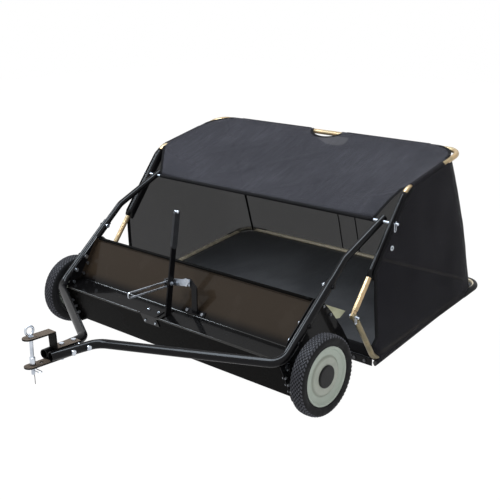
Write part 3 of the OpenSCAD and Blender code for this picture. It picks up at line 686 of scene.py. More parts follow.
def end_faces(rings: int, sides: int) -> Faces:
    """Faces that close the first and the last ring.

    Args:
        rings: Number of rings.
        sides: Points in each ring.

    Returns:
        The vertex numbers of both faces.
    """
    last = (rings - 1) * sides
    return [tuple(range(sides))[::-1], tuple(range(last, last + sides))]


def grid_faces(rows: int, columns: int, keep: Callable[[int, int], bool] | None = None) -> Faces:
    """Faces of a grid of points.

    Args:
        rows: Points down the grid.
        columns: Points across it.
        keep: Says of a cell, by row and column, whether it is there.

    Returns:
        Four vertex numbers for each cell.
    """
    return [
        (i * columns + j, i * columns + j + 1, (i + 1) * columns + j + 1, (i + 1) * columns + j)
        for i in range(rows - 1)
        for j in range(columns - 1)
        if keep is None or keep(i, j)
    ]


def cloth_lengths(grid: np.ndarray) -> np.ndarray:
    """Cloth coordinates of a grid of points.

    Args:
        grid: Points as rows, columns and coordinates.

    Returns:
        Length across and down to each point, in metres, one row per point.
    """
    across = np.linalg.norm(np.diff(grid, axis=1), axis=2)
    down = np.linalg.norm(np.diff(grid, axis=0), axis=2)
    u = np.concatenate([np.zeros((grid.shape[0], 1)), np.cumsum(across, axis=1)], axis=1)
    v = np.concatenate([np.zeros((1, grid.shape[1])), np.cumsum(down, axis=0)], axis=0)
    u -= u[:, grid.shape[1] // 2][:, None]
    return np.stack([u, v], axis=2).reshape(-1, 2)


def cloth_grid(
    name: str,
    grid: np.ndarray,
    finish: Finish,
    keep: Callable[[int, int], bool] | None = None,
) -> bpy.types.Object:
    """A sheet of cloth on a grid of points.

    Args:
        name: The piece's name.
        grid: Points as rows, columns and coordinates.
        finish: Its finish.
        keep: Says which cells are there.

    Returns:
        The open sheet.
    """
    faces = grid_faces(grid.shape[0], grid.shape[1], keep)
    piece = new_piece(name, grid.reshape(-1, 3), faces, finish, cloth_lengths(grid))
    tidy = bmesh.new()
    tidy.from_mesh(piece.data)
    bmesh.ops.delete(tidy, geom=[v for v in tidy.verts if not v.link_faces], context="VERTS")
    tidy.to_mesh(piece.data)
    tidy.free()
    return piece


def pipe(
    name: str,
    path: Sequence[Sequence[float]],
    radius: float,
    finish: Finish,
    sides: int = 12,
    closed: bool = False,
    squeeze: float = 1.0,
) -> bpy.types.Object:
    """A round bar along a path.

    Args:
        name: The piece's name.
        path: Points of its middle line.
        radius: Its radius.
        finish: Its finish.
        sides: Faces round it.
        closed: Whether the path is a loop.
        squeeze: Height of the section over its width.

    Returns:
        The new piece.
    """
    line = np.asarray(path, float)
    count = len(line)
    ahead = np.roll(line, -1, 0) - np.roll(line, 1, 0)
    if not closed:
        ahead[0], ahead[-1] = line[1] - line[0], line[-1] - line[-2]
    ahead /= np.linalg.norm(ahead, axis=1)[:, None]
    side = np.cross(ahead[0], (0.0, 0.0, 1.0))
    if np.linalg.norm(side) < 0.1:
        side = np.cross(ahead[0], ACROSS)
    points = []
    for at, along in zip(line, ahead):
        side = side - along * np.dot(side, along)
        side /= np.linalg.norm(side)
        top = np.cross(side, along)
        for k in range(sides):
            turn = math.tau * k / sides
            points.append(at + radius * (math.cos(turn) * side + squeeze * math.sin(turn) * top))
    faces = ring_faces(count, sides, closed=closed)
    if not closed:
        faces += end_faces(count, sides)
    return new_piece(name, np.array(points), faces, finish)


def dome(
    name: str,
    at: np.ndarray,
    out: np.ndarray,
    radius: float,
    height: float,
    finish: Finish,
    sides: int = 20,
) -> bpy.types.Object:
    """A rounded bolt head on a slope of the side view.

    Args:
        name: The piece's name.
        at: Middle of its foot.
        out: Direction out of the slope, square to the machine's width.
        radius: Its radius.
        height: Its height.
        finish: Its finish.
        sides: Faces round it.

    Returns:
        The new piece.
    """
    rings = ((1.0, 0.0), (1.0, 0.35), (0.88, 0.68), (0.62, 0.9), (0.3, 1.0))
    along = np.cross(out, ACROSS)
    turns = [math.tau * k / sides for k in range(sides)]
    points = [
        at + out * height * rise + radius * wide * (math.cos(t) * ACROSS + math.sin(t) * along)
        for wide, rise in rings
        for t in turns
    ]
    faces = ring_faces(len(rings), sides) + end_faces(len(rings), sides)
    return new_piece(name, np.array(points), faces, finish)


def binding(
    name: str,
    path: np.ndarray,
    across: np.ndarray,
    out: np.ndarray,
    finish: Finish,
    width: float,
    thickness: float = 2.2 * MM,
) -> bpy.types.Object:
    """A sewn tape along an edge, a little fuller in its middle.

    Args:
        name: The piece's name.
        path: Points of its middle line.
        across: Direction across the tape at each point.
        out: Direction out of the cloth at each point.
        finish: Its finish.
        width: Width of the tape.
        thickness: Its full thickness.

    Returns:
        The closed tape.
    """
    half = [(-0.5, 0.25), (-0.3, 0.5), (0.3, 0.5), (0.5, 0.25)]
    section = half + [(s, -h) for s, h in reversed(half)]
    points = [
        p + a * (width * s) + o * (thickness * h)
        for p, a, o in zip(path, across, out)
        for s, h in section
    ]
    faces = ring_faces(len(path), len(section)) + end_faces(len(path), len(section))
    lengths = np.concatenate([[0.0], np.cumsum(np.linalg.norm(np.diff(path, axis=0), axis=1))])
    flat = np.array([(s * width, length) for length in lengths for s, _ in section])
    return new_piece(name, np.array(points), faces, finish, flat)


BLACK_PAINT = GlossPaint("black_paint", (0.0055, 0.0055, 0.0065), rough=0.27)
# Hood: the dark colour below the knee is painted shade, and the band above the knee is a painted reflection.
HOOD_PAINT = GlossPaint(
    "hood_paint", (0.03, 0.0222, 0.0155), (0.05, 0.041, 0.032), rough=0.2, painted_shade_heights=(0.208, 0.245)
)
# Strap steel: the paler brown of its upward faces is a painted highlight.
STRAP_STEEL = GlossPaint(
    "strap_steel", (0.007, 0.0066, 0.0062), (0.02, 0.017, 0.015), rough=0.4, coat=0.0, top=(0.12, 0.098, 0.08)
)
BEND_PAINT = GlossPaint("bend_paint", (0.006, 0.0062, 0.0068), rough=0.16, coat=1.0)
# Partly a painted highlight: paler than the black paint; the rest of its shine comes from its glossy coat.
CREASE_HIGHLIGHT_PAINT = GlossPaint("crease_paint_painted_highlight", (0.016, 0.0155, 0.0145), rough=0.36, coat=0.4)
# Painted shade: a darker copy of the black paint, on the skirt and the hood's top trim.
SHADED_SKIRT_PAINT = GlossPaint("skirt_paint_painted_shade", (0.0035, 0.0033, 0.0032), (0.01, 0.009, 0.008), coat=0.0, index=1.05)
BRIGHT_ZINC = ZincPlate("bright_zinc", (0.6, 0.64, 0.7), (0.46, 0.5, 0.56))
DULL_ZINC = ZincPlate("dull_zinc", (0.1, 0.1, 0.105), (0.06, 0.06, 0.064), rough=0.4)
SHEET_ZINC = ZincPlate("sheet_zinc", (0.22, 0.23, 0.25), (0.15, 0.16, 0.175), rough=0.35)
FRAME_ZINC = ZincPlate("frame_zinc", (0.6, 0.64, 0.7), (0.46, 0.5, 0.56), dark_beyond=588 * MM)
YELLOW_ZINC = ZincPlate("yellow_zinc", (0.5, 0.36, 0.2), (0.33, 0.26, 0.15), rough=0.3, metal=0.6)
# Lower frame: its paler rear colour is a painted highlight on the rear rail.
OLIVE_ZINC = ZincPlate(
    "olive_zinc",
    (0.26, 0.21, 0.11),
    (0.18, 0.15, 0.085),
    metal=0.35,
    rear=(0.95, 0.86, 0.66),
    painted_highlight_from=170 * MM,
)
PALE_ZINC = ZincPlate("pale_zinc", (0.66, 0.68, 0.48), (0.5, 0.5, 0.34), rough=0.35, metal=0.35)
TYRE_RUBBER = Rubber("tyre_rubber", (0.0045, 0.0045, 0.0053), (0.012, 0.0117, 0.0117))
# Painted highlight: a paler, bluish copy of the tyre rubber for the tops of the tread blocks.
TREAD_HIGHLIGHT_RUBBER = Rubber("tread_rubber_painted_highlight", (0.06, 0.062, 0.074), (0.13, 0.132, 0.148), rough=0.48)
GRIP_RUBBER = Rubber("grip_rubber", (0.02, 0.021, 0.024), (0.045, 0.046, 0.05), rough=0.5)
# Rim: the dark ring along the groove and the dark inner side are painted shade.
RIM_PLASTIC = MouldedPlastic(
    "rim_plastic",
    (0.42, 0.45, 0.395),
    (0.34, 0.37, 0.32),
    shine=0.25,
    painted_shade_within=652 * MM,
    groove=(-181.5 * MM, 140 * MM, 68 * MM),
)
BLACK_PLASTIC = MouldedPlastic("black_plastic", (0.007, 0.007, 0.0075), (0.016, 0.016, 0.017), shine=0.2)
MESH_CLOTH = MeshCloth("mesh_cloth", (0.0125, 0.0122, 0.015), (0.0325, 0.032, 0.039))
# Painted light: a lighter copy of the bag's mesh cloth for the lit roof.
LIT_ROOF_CLOTH = MeshCloth("roof_cloth", (0.034, 0.0355, 0.045), (0.084, 0.087, 0.107))
FLOOR_CLOTH = CoatedSheet("floor_cloth", (0.055, 0.06, 0.068), (0.088, 0.095, 0.105))
TAPE_CLOTH = CoatedSheet("tape_cloth", (0.007, 0.007, 0.0078), (0.013, 0.013, 0.0145), rough=0.7, shine=0.05)


def unit(v: np.ndarray) -> np.ndarray:
    """A vector of length one."""
    return v / np.linalg.norm(v)


def upright(v: np.ndarray, x: float = 0.0) -> np.ndarray:
    """A point or direction of the side view, (y, z), in the frame."""
    return np.array([x, *v])


def middle_of(node: str) -> np.ndarray:
    """Middle of a node in the side view, as (y, z)."""
    low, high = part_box(node)
    return np.array([(low.y + high.y) / 2, (low.z + high.z) / 2])


def ripple(at: Sequence[float], scale: float, seed: float) -> float:
    """Smooth unevenness of cloth.

    Args:
        at: A point in the frame.
        scale: Waves per metre.
        seed: Shifts the pattern.

    Returns:
        A value from about -1 to 1.
    """
    return noise.noise(Vector((at[0] * scale + seed, at[1] * scale, at[2] * scale)))


@dataclass
class Studio:
    """Camera, floor, lamps and sky of the picture."""

    picture: int = 500
    sensor: float = 36.0
    focal_pixels: float = 929.0853
    azimuth: float = 42.4983
    elevation: float = 16.4022
    stand: Point = (2.3687, -2.3979, 1.3867)
    floor_half: float = 9.0
    floor_grey: float = 0.9
    floor_glow: float = 1.03
    floor_white: float = 0.97
    sky: float = 0.3
    lamp_middle: Point = (0.0, 0.0, 0.35)
    sheen: Colour = (0.8, 0.9, 1.0)

    def build(self) -> None:
        """Makes the whole studio."""
        self.camera()
        self.world()
        self.floor()
        self.lamp("key", (-1.6, -2.4, 3.2), 2.6, 115.0)
        self.lamp("top", (0.0, 0.3, 3.4), 1.6, 38.0)
        self.lamp("back", (0.4, 3.2, 2.8), 2.4, 24.0)
        self.lamp("fill", (3.0, -0.9, 3.0), 1.5, 29.0)
        self.lamp("sheen", (0.1, -0.6, 3.1), 1.1, 250.0, self.sheen, 3.6)
        self.lamp("side_sheen", (-2.4, -0.9, 2.4), 0.9, 70.0, self.sheen)
        bpy.context.scene.view_settings.view_transform = "Standard"

    def camera(self) -> None:
        """Stands the camera where the picture was taken."""
        turn, rise = math.radians(self.azimuth), math.radians(self.elevation)
        right = Vector((math.cos(turn), math.sin(turn), 0.0))
        back = Vector((math.sin(turn) * math.cos(rise), -math.cos(turn) * math.cos(rise), math.sin(rise)))
        data = bpy.data.cameras.new("camera")
        data.sensor_width = self.sensor
        data.lens = self.focal_pixels / self.picture * self.sensor
        camera = bpy.data.objects.new("camera", data)
        axes = Matrix((right, back.cross(right), back)).transposed().to_4x4()
        camera.matrix_world = Matrix.Translation(self.stand) @ axes
        bpy.context.scene.collection.objects.link(camera)
        bpy.context.scene.camera = camera

    def seen(self, nodes: Nodes) -> Sock:
        """Tells rays that show the background from rays that only light the object.

        Args:
            nodes: The nodes of the sky or the floor.

        Returns:
            1 for rays that show the background, otherwise 0.
        """
        rays = nodes.node("ShaderNodeLightPath").socket.node
        names = ("Is Camera Ray", "Is Glossy Ray", "Is Transmission Ray")
        camera, glossy, through = (Sock(nodes, rays.outputs[name]) for name in names)
        return camera.higher_of(glossy).higher_of(through)

    def world(self) -> None:
        """A white sky that lights the object softly."""
        world = bpy.data.worlds.new("sky")
        world.use_nodes = True
        bpy.context.scene.world = world
        nodes = Nodes(world.node_tree)
        strength = self.sky + self.seen(nodes) * (1.0 - self.sky)
        white = (1.0, 1.0, 1.0, 1.0)
        light = nodes.node("ShaderNodeBackground", inputs={"Color": white, "Strength": strength})
        nodes.node("ShaderNodeOutputWorld", inputs={"Surface": light})

    def floor(self) -> None:
        """A pale floor that keeps the object's shadow."""
        half = self.floor_half
        ends = [(-half, -half, 0.0), (half, -half, 0.0), (half, half, 0.0), (-half, half, 0.0)]
        made = bpy.data.materials.new("floor")
        made.use_nodes = True
        nodes = Nodes(made.node_tree)
        grey = (self.floor_grey, self.floor_grey, self.floor_grey, 1.0)
        matt = nodes.node("ShaderNodeBsdfDiffuse", inputs={"Color": grey})
        glow = {"Color": (1.0, 1.0, 1.0, 1.0), "Strength": self.floor_glow}
        white = nodes.node("ShaderNodeEmission", inputs=glow)
        share = self.seen(nodes) * self.floor_white
        both = nodes.node("ShaderNodeMixShader", inputs={0: share, 1: matt, 2: white})
        nodes.node("ShaderNodeOutputMaterial", inputs={"Surface": both})
        mesh = bpy.data.meshes.new("floor")
        mesh.from_pydata(ends, [], [(0, 1, 2, 3)])
        mesh.materials.append(made)
        floor = bpy.data.objects.new("floor", mesh)
        bpy.context.scene.collection.objects.link(floor)

    def lamp(
        self,
        name: str,
        at: Point,
        size: float,
        watts: float,
        mirrored: Colour | None = None,
        long: float = 1.0,
    ) -> None:
        """Hangs a soft box that looks at the object.

        Args:
            name: The lamp's name.
            at: Its place.
            size: Width of the soft box.
            watts: Its power.
            mirrored: Its colour, if it only shows as a mirror image on shiny surfaces.
            long: Length of the soft box over its width.
        """
        data = bpy.data.lights.new(name, "AREA")
        data.shape = "RECTANGLE"
        data.size = size
        data.size_y = size * long
        data.energy = watts
        lamp = bpy.data.objects.new(name, data)
        lamp.location = at
        data.color = mirrored or (1.0, 1.0, 1.0)
        lamp.visible_glossy = mirrored is not None
        lamp.visible_diffuse = mirrored is None
        lamp.rotation_euler = (Vector(self.lamp_middle) - Vector(at)).to_track_quat("-Z", "Y").to_euler()
        bpy.context.scene.collection.objects.link(lamp)


@dataclass
class Hopper:
    """The fabric hopper: roof sheet, bag, floor, tapes and the sleeves on its posts."""

    tube_r: float = 10 * MM
    cloth_lift: float = 2.2 * MM
    cloth_t: float = 1.2 * MM
    sheet_mid: float = 1.5 * MM
    front_out: float = 3 * MM
    bend: float = 55 * MM
    post_len: float = 485 * MM
    hem_x: float = 553 * MM
    roof_grip: float = 120 * MM
    roof_sag: float = 9 * MM
    rod_lift: float = 6.8 * MM
    edge_run: float = 20 * MM
    knee_drop: float = 9 * MM
    knee_run: float = 22 * MM
    roof_wave: float = 5 * MM
    fold_high: float = 2.4 * MM
    fold_wide: float = 11 * MM
    folds: tuple[float, ...] = (-0.42, -0.23, -0.02, 0.2)
    hem_r: float = 7.4 * MM
    hand_half: float = 75 * MM
    hand_deep: float = 42 * MM
    hand_clear: float = 6 * MM
    hand_next: float = 8 * MM
    corner_cut: float = 105 * MM
    corner_round: float = 140 * MM
    corner_gap: float = 1 * MM
    side_steps: int = 29
    corner_steps: int = 8
    seam_step: int = 5
    rear_cut_more: float = 22 * MM
    belly: float = 9 * MM
    tall_wave: float = 6 * MM
    small_wave: float = 1.6 * MM
    cut_up: float = 160 * MM
    cut_y: float = 312 * MM
    cut_z: float = 146 * MM
    cut_round: float = 30 * MM
    cut_step: Pair = (9 * MM, -20 * MM)
    cut_share: float = 0.45
    cut_bow: float = 3 * MM
    cut_least: float = 0.5 * MM
    knee_half: float = 30 * MM
    edge_off: float = 2 * MM
    leg_clear: float = 3 * MM
    top_turn: float = math.radians(104)
    low_turn: float = math.radians(150)
    edge_hold: float = 140 * MM
    tuck_run: float = 4 * MM
    tuck_deep: float = 14 * MM
    tuck_half: float = 8 * MM
    hem_drop: float = 1.3
    hem_run: float = 400 * MM
    floor_gap: float = 0.6 * MM
    floor_in: float = 4 * MM
    floor_drop: float = 1 * MM
    floor_sag: float = 11 * MM
    floor_wave: float = 5 * MM
    lip: float = 46 * MM
    lip_in: float = 5 * MM
    lip_wave: float = 3 * MM
    sleeve_from: float = 147 * MM
    sleeve_past: float = 10 * MM
    sleeve_r: float = 11.3 * MM
    post_sleeve_r: float = 12.6 * MM
    dark_sleeve_out: float = 3 * MM
    dark_sleeve_run: float = 75 * MM
    sleeve_back: float = 8 * MM
    tape: float = 16 * MM
    edge_tape: float = 12 * MM
    edge_past: float = 10 * MM
    cut_tape: float = 11 * MM
    cut_tape_in: float = 5 * MM
    corner_seam: float = 9 * MM
    rear_seam: float = 5 * MM
    seam_t: float = 3.2 * MM
    seam_x: Pair = (-60 * MM, 30 * MM)
    post_x: float = field(init=False)
    low_x: float = field(init=False)
    wrap: float = field(init=False)
    axle_y: float = field(init=False)
    hinge: np.ndarray = field(init=False)
    rod: np.ndarray = field(init=False)
    post_top: np.ndarray = field(init=False)
    ridge: np.ndarray = field(init=False)
    front: np.ndarray = field(init=False)
    rear: np.ndarray = field(init=False)
    post_dir: np.ndarray = field(init=False)
    rail_dir: np.ndarray = field(init=False)
    floor_dir: np.ndarray = field(init=False)
    post_back: np.ndarray = field(init=False)
    roof_up: np.ndarray = field(init=False)
    floor_down: np.ndarray = field(init=False)
    rear_out: np.ndarray = field(init=False)

    def __post_init__(self) -> None:
        """Reads the hopper's main points and directions from the frame, as (y, z)."""
        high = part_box("upper_frame")[1]
        self.post_x = high.x - self.tube_r
        self.ridge = np.array([high.y - self.tube_r, high.z - self.tube_r])
        self.hinge = middle_of("hinge_pins")
        self.rod = middle_of("tipping_rod")
        self.axle_y = middle_of("axle_left")[0]
        self.post_dir = unit(self.rod - self.hinge)
        self.post_top = self.hinge + self.post_len * self.post_dir
        self.post_back = np.array([self.post_dir[1], -self.post_dir[0]])
        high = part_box("lower_frame")[1]
        self.low_x = high.x - self.tube_r
        sheet_low, sheet_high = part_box("floor_sheet")
        self.front = np.array([sheet_low.y - self.front_out, sheet_low.z + self.sheet_mid])
        self.rear = np.array([high.y - self.tube_r, sheet_high.z + self.sheet_mid])
        self.rail_dir = unit(self.ridge - self.post_top)
        self.wrap = self.tube_r + self.cloth_lift
        self.roof_up = np.array([-self.rail_dir[1], self.rail_dir[0]])
        self.floor_dir = unit(self.rear - self.front)
        self.floor_down = np.array([self.floor_dir[1], -self.floor_dir[0]])
        rear_dir = unit(self.rear - self.ridge)
        self.rear_out = np.array([-rear_dir[1], rear_dir[0]])

    def cut_depth(self, x: float, more: float = 0.0) -> float:
        """How deep the cloth is cut back at the ridge.

        Args:
            x: Place along the ridge.
            more: Added to the size of each cut.

        Returns:
            Depth from the ridge, 0 where the cloth reaches it.
        """
        off = x / (self.hand_half + more)
        return (self.hand_deep + more) * math.sqrt(1 - off * off) if abs(off) < 1 else 0.0

    def corner_depth(self, x: float) -> float:
        """How deep the roof is cut back where the tube bends at the ridge's ends.

        Args:
            x: Place along the ridge.

        Returns:
            Depth from the ridge, 0 where the tube is straight.
        """
        past = max(0.0, abs(x) - self.post_x + self.corner_cut)
        return self.corner_cut - math.sqrt(max(0.0, self.corner_cut**2 - past**2))

    def ridge_samples(self, reach: float, more: float) -> np.ndarray:
        """Places along the ridge, close together at the ends of each cut.

        Args:
            reach: Half the width that is sampled.
            more: Added to the size of each cut.

        Returns:
            Rising x values from -reach to reach.
        """
        size = self.hand_half + more
        places = [x for x in np.linspace(0, reach, 34) if x > size + self.hand_clear]
        places += [size * math.cos(t) for t in np.linspace(0, math.pi / 2, 9)] + [size + self.hand_next]
        places += [reach - self.corner_cut * (1 - math.sin(t)) for t in np.linspace(0, math.pi / 2, 12)]
        places = sorted({min(x, reach) for x in np.round(places, 5) if x < reach + 0.1 * MM})
        return np.array([-x for x in reversed(places) if x > 0] + places)

    def build(self) -> None:
        """Makes and dresses every piece of the hopper."""
        self.roof()
        self.bag()
        self.floor()
        self.post_sleeves()

    def roof_edge(self, y: float) -> float:
        """Half the roof's width at a place along it.

        Args:
            y: Place along the machine.

        Returns:
            Half width.
        """
        share = (y - self.rod[0]) / (self.post_top[0] + self.edge_run - self.rod[0])
        return self.hem_x + (self.post_x - self.hem_x) * min(1.0, max(0.0, share))

    def roof_height(self, x: float, y: float) -> float:
        """Height of the roof sheet: straight between rod and ridge, lifted by the rails near its sides.

        Args:
            x: Place across.
            y: Place along.

        Returns:
            Height in the frame.
        """
        start = self.rod + np.array([0.0, self.rod_lift])
        end = self.ridge + self.wrap * self.roof_up
        share = (y - start[0]) / (end[0] - start[0])
        middle = start[1] + share * (end[1] - start[1])
        top = self.post_top + self.wrap * self.roof_up
        if y < top[0]:
            side = start[1] + (top[1] - start[1]) * (y - start[0]) / (top[0] - start[0])
        else:
            side = top[1] + (end[1] - top[1]) * (y - top[0]) / (end[0] - top[0])
        round_off = self.knee_drop * math.exp(-(((y - top[0]) / self.knee_run) ** 2))
        hold = math.exp(-max(0.0, self.roof_edge(y) - abs(x)) / self.roof_grip)
        slack = math.sin(math.pi * min(1.0, max(0.0, share))) * (1 - hold)
        fold = ripple((x, y, 0.0), 3.2, 4.0) * self.roof_wave + self.creases(x, y)
        return middle + (side - round_off - middle) * hold - slack * (self.roof_sag - fold)

    def creases(self, x: float, y: float) -> float:
        """Faint folds that run slantwise over the roof."""
        along = x * 0.62 - (y - self.rod[0]) * 0.9
        return sum(self.fold_high * math.exp(-(((along - at) / self.fold_wide) ** 2)) for at in self.folds)

    def roof(self) -> None:
        """The sheet from the tipping rod to the ridge with its hem, hand hole and corner cuts."""
        end_y = (self.ridge + self.wrap * self.roof_up)[0]
        columns = self.ridge_samples(self.post_x, 0.0) / self.post_x
        bend_at = (self.post_top[0] - self.rod[0]) / (end_y - self.rod[0])
        rows = np.unique(np.concatenate([np.linspace(0, 1, 44), bend_at + np.linspace(-0.06, 0.08, 15)]))
        grid = np.zeros((len(rows), len(columns), 3))
        for j, column in enumerate(columns):
            at = column * self.post_x
            stop = end_y - (self.cut_depth(at) + self.corner_depth(at)) * self.rail_dir[0]
            for i, row in enumerate(rows):
                y = self.rod[0] + row * (stop - self.rod[0])
                x = column * self.roof_edge(y)
                grid[i, j] = (x, y, self.roof_height(x, y))
        # Painted light: the roof takes the lighter copy of the mesh cloth.
        sheet = thicken(cloth_grid("roof_sheet", grid, LIT_ROOF_CLOTH), self.cloth_t)
        hem_line = [(x, *self.rod) for x in np.linspace(-self.hem_x, self.hem_x, 60)]
        hem = pipe("rod_hem", hem_line, self.hem_r, TAPE_CLOTH, 16)
        tie(sheet, Body.UPPER, "mesh_cloth", "top_sheet")
        tie(hem, Body.UPPER, "mesh_cloth")
        self.roof_tapes(grid)

    def roof_tapes(self, grid: np.ndarray) -> None:
        """Binding along the hand hole, the corner cuts and the free side edges.

        Args:
            grid: The roof's points, of which the last row is the ridge edge.
        """
        up = upright(self.roof_up)
        edge = grid[-1]
        cut = np.array([self.cut_depth(x) + self.corner_depth(x) > self.cut_least for x in edge[:, 0]])
        runs = np.split(np.arange(len(cut)), np.flatnonzero(np.diff(cut.astype(int))) + 1)
        for number, run in enumerate(r for r in runs if cut[r[0]] and len(r) > 3):
            line = edge[run]
            ahead = np.gradient(line, axis=0)
            across = np.array([unit(np.cross(up, a)) for a in ahead])
            inward = line - across * np.sign(across[len(across) // 2, 1]) * self.cut_tape_in
            out = np.tile(up, (len(line), 1))
            tape = binding(f"cut_tape_{number}", inward, across, out, TAPE_CLOTH, self.cut_tape)
            tie(tape, Body.UPPER, "mesh_cloth")
        for side, column in (("right", 0), ("left", -1)):
            line = grid[:, column][grid[:, column, 1] < self.post_top[0] + self.edge_past]
            across = np.tile(ACROSS, (len(line), 1))
            out = np.array([unit(np.cross(ACROSS, a)) for a in np.gradient(line, axis=0)])
            tape = binding(f"roof_edge_{side}", line, across, out, TAPE_CLOTH, self.edge_tape)
            tie(tape, Body.UPPER, "mesh_cloth")

    def front_line(self, count: int) -> np.ndarray:
        """The bag's front edge in the side view, from the rail down to the floor's front.

        Args:
            count: Points on it.

        Returns:
            Evenly spaced (y, z) points.
        """
        cut = np.array([self.axle_y + self.cut_y, self.cut_z])
        leg = unit(self.hinge - self.front)
        on_leg = self.front + leg * (self.cut_z - self.front[1]) / leg[1]
        cut_top = self.hinge + self.cut_up * self.post_dir - self.edge_off * self.post_back
        between = cut_top * (1 - self.cut_share) + cut * self.cut_share
        corner = [
            cut + self.cut_round * np.array([t * t - 2 * t, (1 - t) ** 2]) for t in np.linspace(0, 1, 7)
        ]
        points = [
            self.post_top + self.knee_half * self.rail_dir,
            self.post_top - self.knee_half * self.post_dir - self.edge_off * self.post_back,
            cut_top,
            cut_top + np.array(self.cut_step),
            between + np.array([self.cut_bow, 0.0]),
            *(p for p in corner if p[0] > on_leg[0] + self.leg_clear),
            on_leg + np.array([self.edge_off, 0.0]),
            self.front + self.edge_off * self.floor_dir,
        ]
        line = np.array(points)
        length = np.concatenate([[0.0], np.cumsum(np.linalg.norm(np.diff(line, axis=0), axis=1))])
        at = np.linspace(0, length[-1], count)
        return np.stack([np.interp(at, length, line[:, k]) for k in (0, 1)], axis=1)

    def bag_line(self, start: np.ndarray, share: float, columns: np.ndarray) -> tuple[np.ndarray, np.ndarray]:
        """One level line of the bag along the tubes' middle, round both rear corners.

        Args:
            start: Where it starts on the sides, as (y, z).
            share: 0 at the rails and ridge, 1 at the floor tubes.
            columns: Places across the rear, from left to right.

        Returns:
            Points, and the direction out of the bag at each.
        """
        x = self.post_x + (self.low_x - self.post_x) * share
        back = self.ridge + (self.rear - self.ridge) * share
        ahead = unit(start - back)
        out = upright(self.rear_out)
        corner = upright(back, x)
        to_front = upright(ahead)
        reach = np.linalg.norm(start - back) - self.corner_round
        points, normals = [], []
        for t in np.linspace(0, 1, self.side_steps + 1)[:-1]:
            points.append(corner + to_front * (self.corner_round + reach * (1 - t)))
            normals.append(ACROSS)
        for turn in np.linspace(0, math.pi / 2, self.corner_steps + 1)[:-1]:
            bow = (1 - math.sin(turn)) * to_front - (1 - math.cos(turn)) * ACROSS
            points.append(corner + self.corner_round * bow)
            normals.append(unit(math.cos(turn) * ACROSS + math.sin(turn) * out))
        half_line, half_out = np.array(points), np.array(normals)
        narrow = (x - self.corner_round) / (self.post_x - self.corner_round)
        straight = np.array([(c * narrow, *back) for c in columns])
        flip = np.array([-1.0, 1.0, 1.0])
        line = np.concatenate([half_line, straight[::-1], (half_line * flip)[::-1]])
        outward = np.concatenate([half_out, np.tile(out, (len(columns), 1)), (half_out * flip)[::-1]])
        return line, outward

    def bag(self) -> None:
        """Sides and rear as one shell hung between the rails and the floor tubes."""
        straight = self.post_x - self.corner_round - self.corner_gap
        columns = self.ridge_samples(straight, self.rear_cut_more)
        edge = self.front_line(46)
        levels = len(edge)
        rear_run = np.linalg.norm(self.rear - self.ridge)
        line, outward = self.bag_line(edge[0], 0.0, columns)
        up = upright(self.roof_up)
        down = upright(self.floor_down)
        on_rear = np.abs(line[:, 0]) <= columns[-1]
        cut = on_rear * np.array([self.cut_depth(p[0], self.rear_cut_more) for p in line])
        rows = []
        for turn in np.linspace(self.top_turn, 0, 8)[:-1]:
            rows.append(line + self.wrap * (math.cos(turn) * outward + math.sin(turn) * up))
        wrapped = len(rows)
        flat_lines = [self.bag_line(edge[i], i / (levels - 1), columns)[0] for i in range(levels)]
        for i in range(levels):
            share = i / (levels - 1)
            low = share + (1 - share) * cut / rear_run
            at = flat_lines[i] + (cut > 0)[:, None] * (self.rear_step(low - share))
            full = math.sin(math.pi * share)
            waves = np.array([self.wrinkle(p, share) for p in at])
            from_edge = np.minimum(*(np.linalg.norm(at - at[end], axis=1) for end in (0, -1)))
            loose = np.minimum(1.0, from_edge / self.edge_hold) * (full * self.belly + waves)
            rows.append(at + outward * (self.wrap * self.tuck(at) + loose)[:, None])
        bottom = flat_lines[-1]
        inside = self.tuck(bottom)[:, None]
        near_front = np.clip((self.front[0] + self.hem_run - bottom[:, 1:2]) / self.hem_run, 0.0, 1.0)
        slack = 1.0 + self.hem_drop * near_front
        for turn in np.linspace(0, self.low_turn, 9)[1:]:
            bow = math.cos(turn) * inside * outward + math.sin(turn) * slack * down
            rows.append(bottom + self.wrap * bow)
        grid = np.array(rows)
        sideways = np.abs(outward[:, 0])
        bends = (sideways > 0.01) & (sideways < 0.99)
        bare = (cut > 0) | bends

        def keep(i: int, j: int) -> bool:
            """Leaves the tubes bare where the cloth is cut back and at their bends.

            Args:
                i: A cell's row.
                j: Its column.

            Returns:
                Whether there is cloth.
            """
            if i >= wrapped + levels - 1:
                return not (bends[j] and bends[j + 1])
            return i >= wrapped or not (bare[j] or bare[j + 1])

        shell = cloth_grid("bag", grid, MESH_CLOTH, keep)
        shell = thicken(shell, self.cloth_t)
        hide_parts("rear_panel", "side_panel_left", "side_panel_right")
        self.hang_between(shell)
        self.bag_tapes(grid[wrapped:wrapped + levels], outward)

    def tuck(self, at: np.ndarray) -> np.ndarray:
        """Share of the cloth's lift that shows: its low front corners lie inside the legs.

        Args:
            at: Points of a level line.

        Returns:
            1 outside the tubes, -1 inside them.
        """
        low = np.clip((self.cut_z + self.tuck_half - at[:, 2]) / (2 * self.tuck_half), 0.0, 1.0)
        ahead = np.clip((self.front[0] + self.tuck_run - at[:, 1]) / self.tuck_deep, 0.0, 1.0)
        return 1.0 - 2.0 * low * ahead

    def rear_step(self, share: np.ndarray) -> np.ndarray:
        """Moves down the rear by shares of its height."""
        return share[:, None] * upright(self.rear - self.ridge)

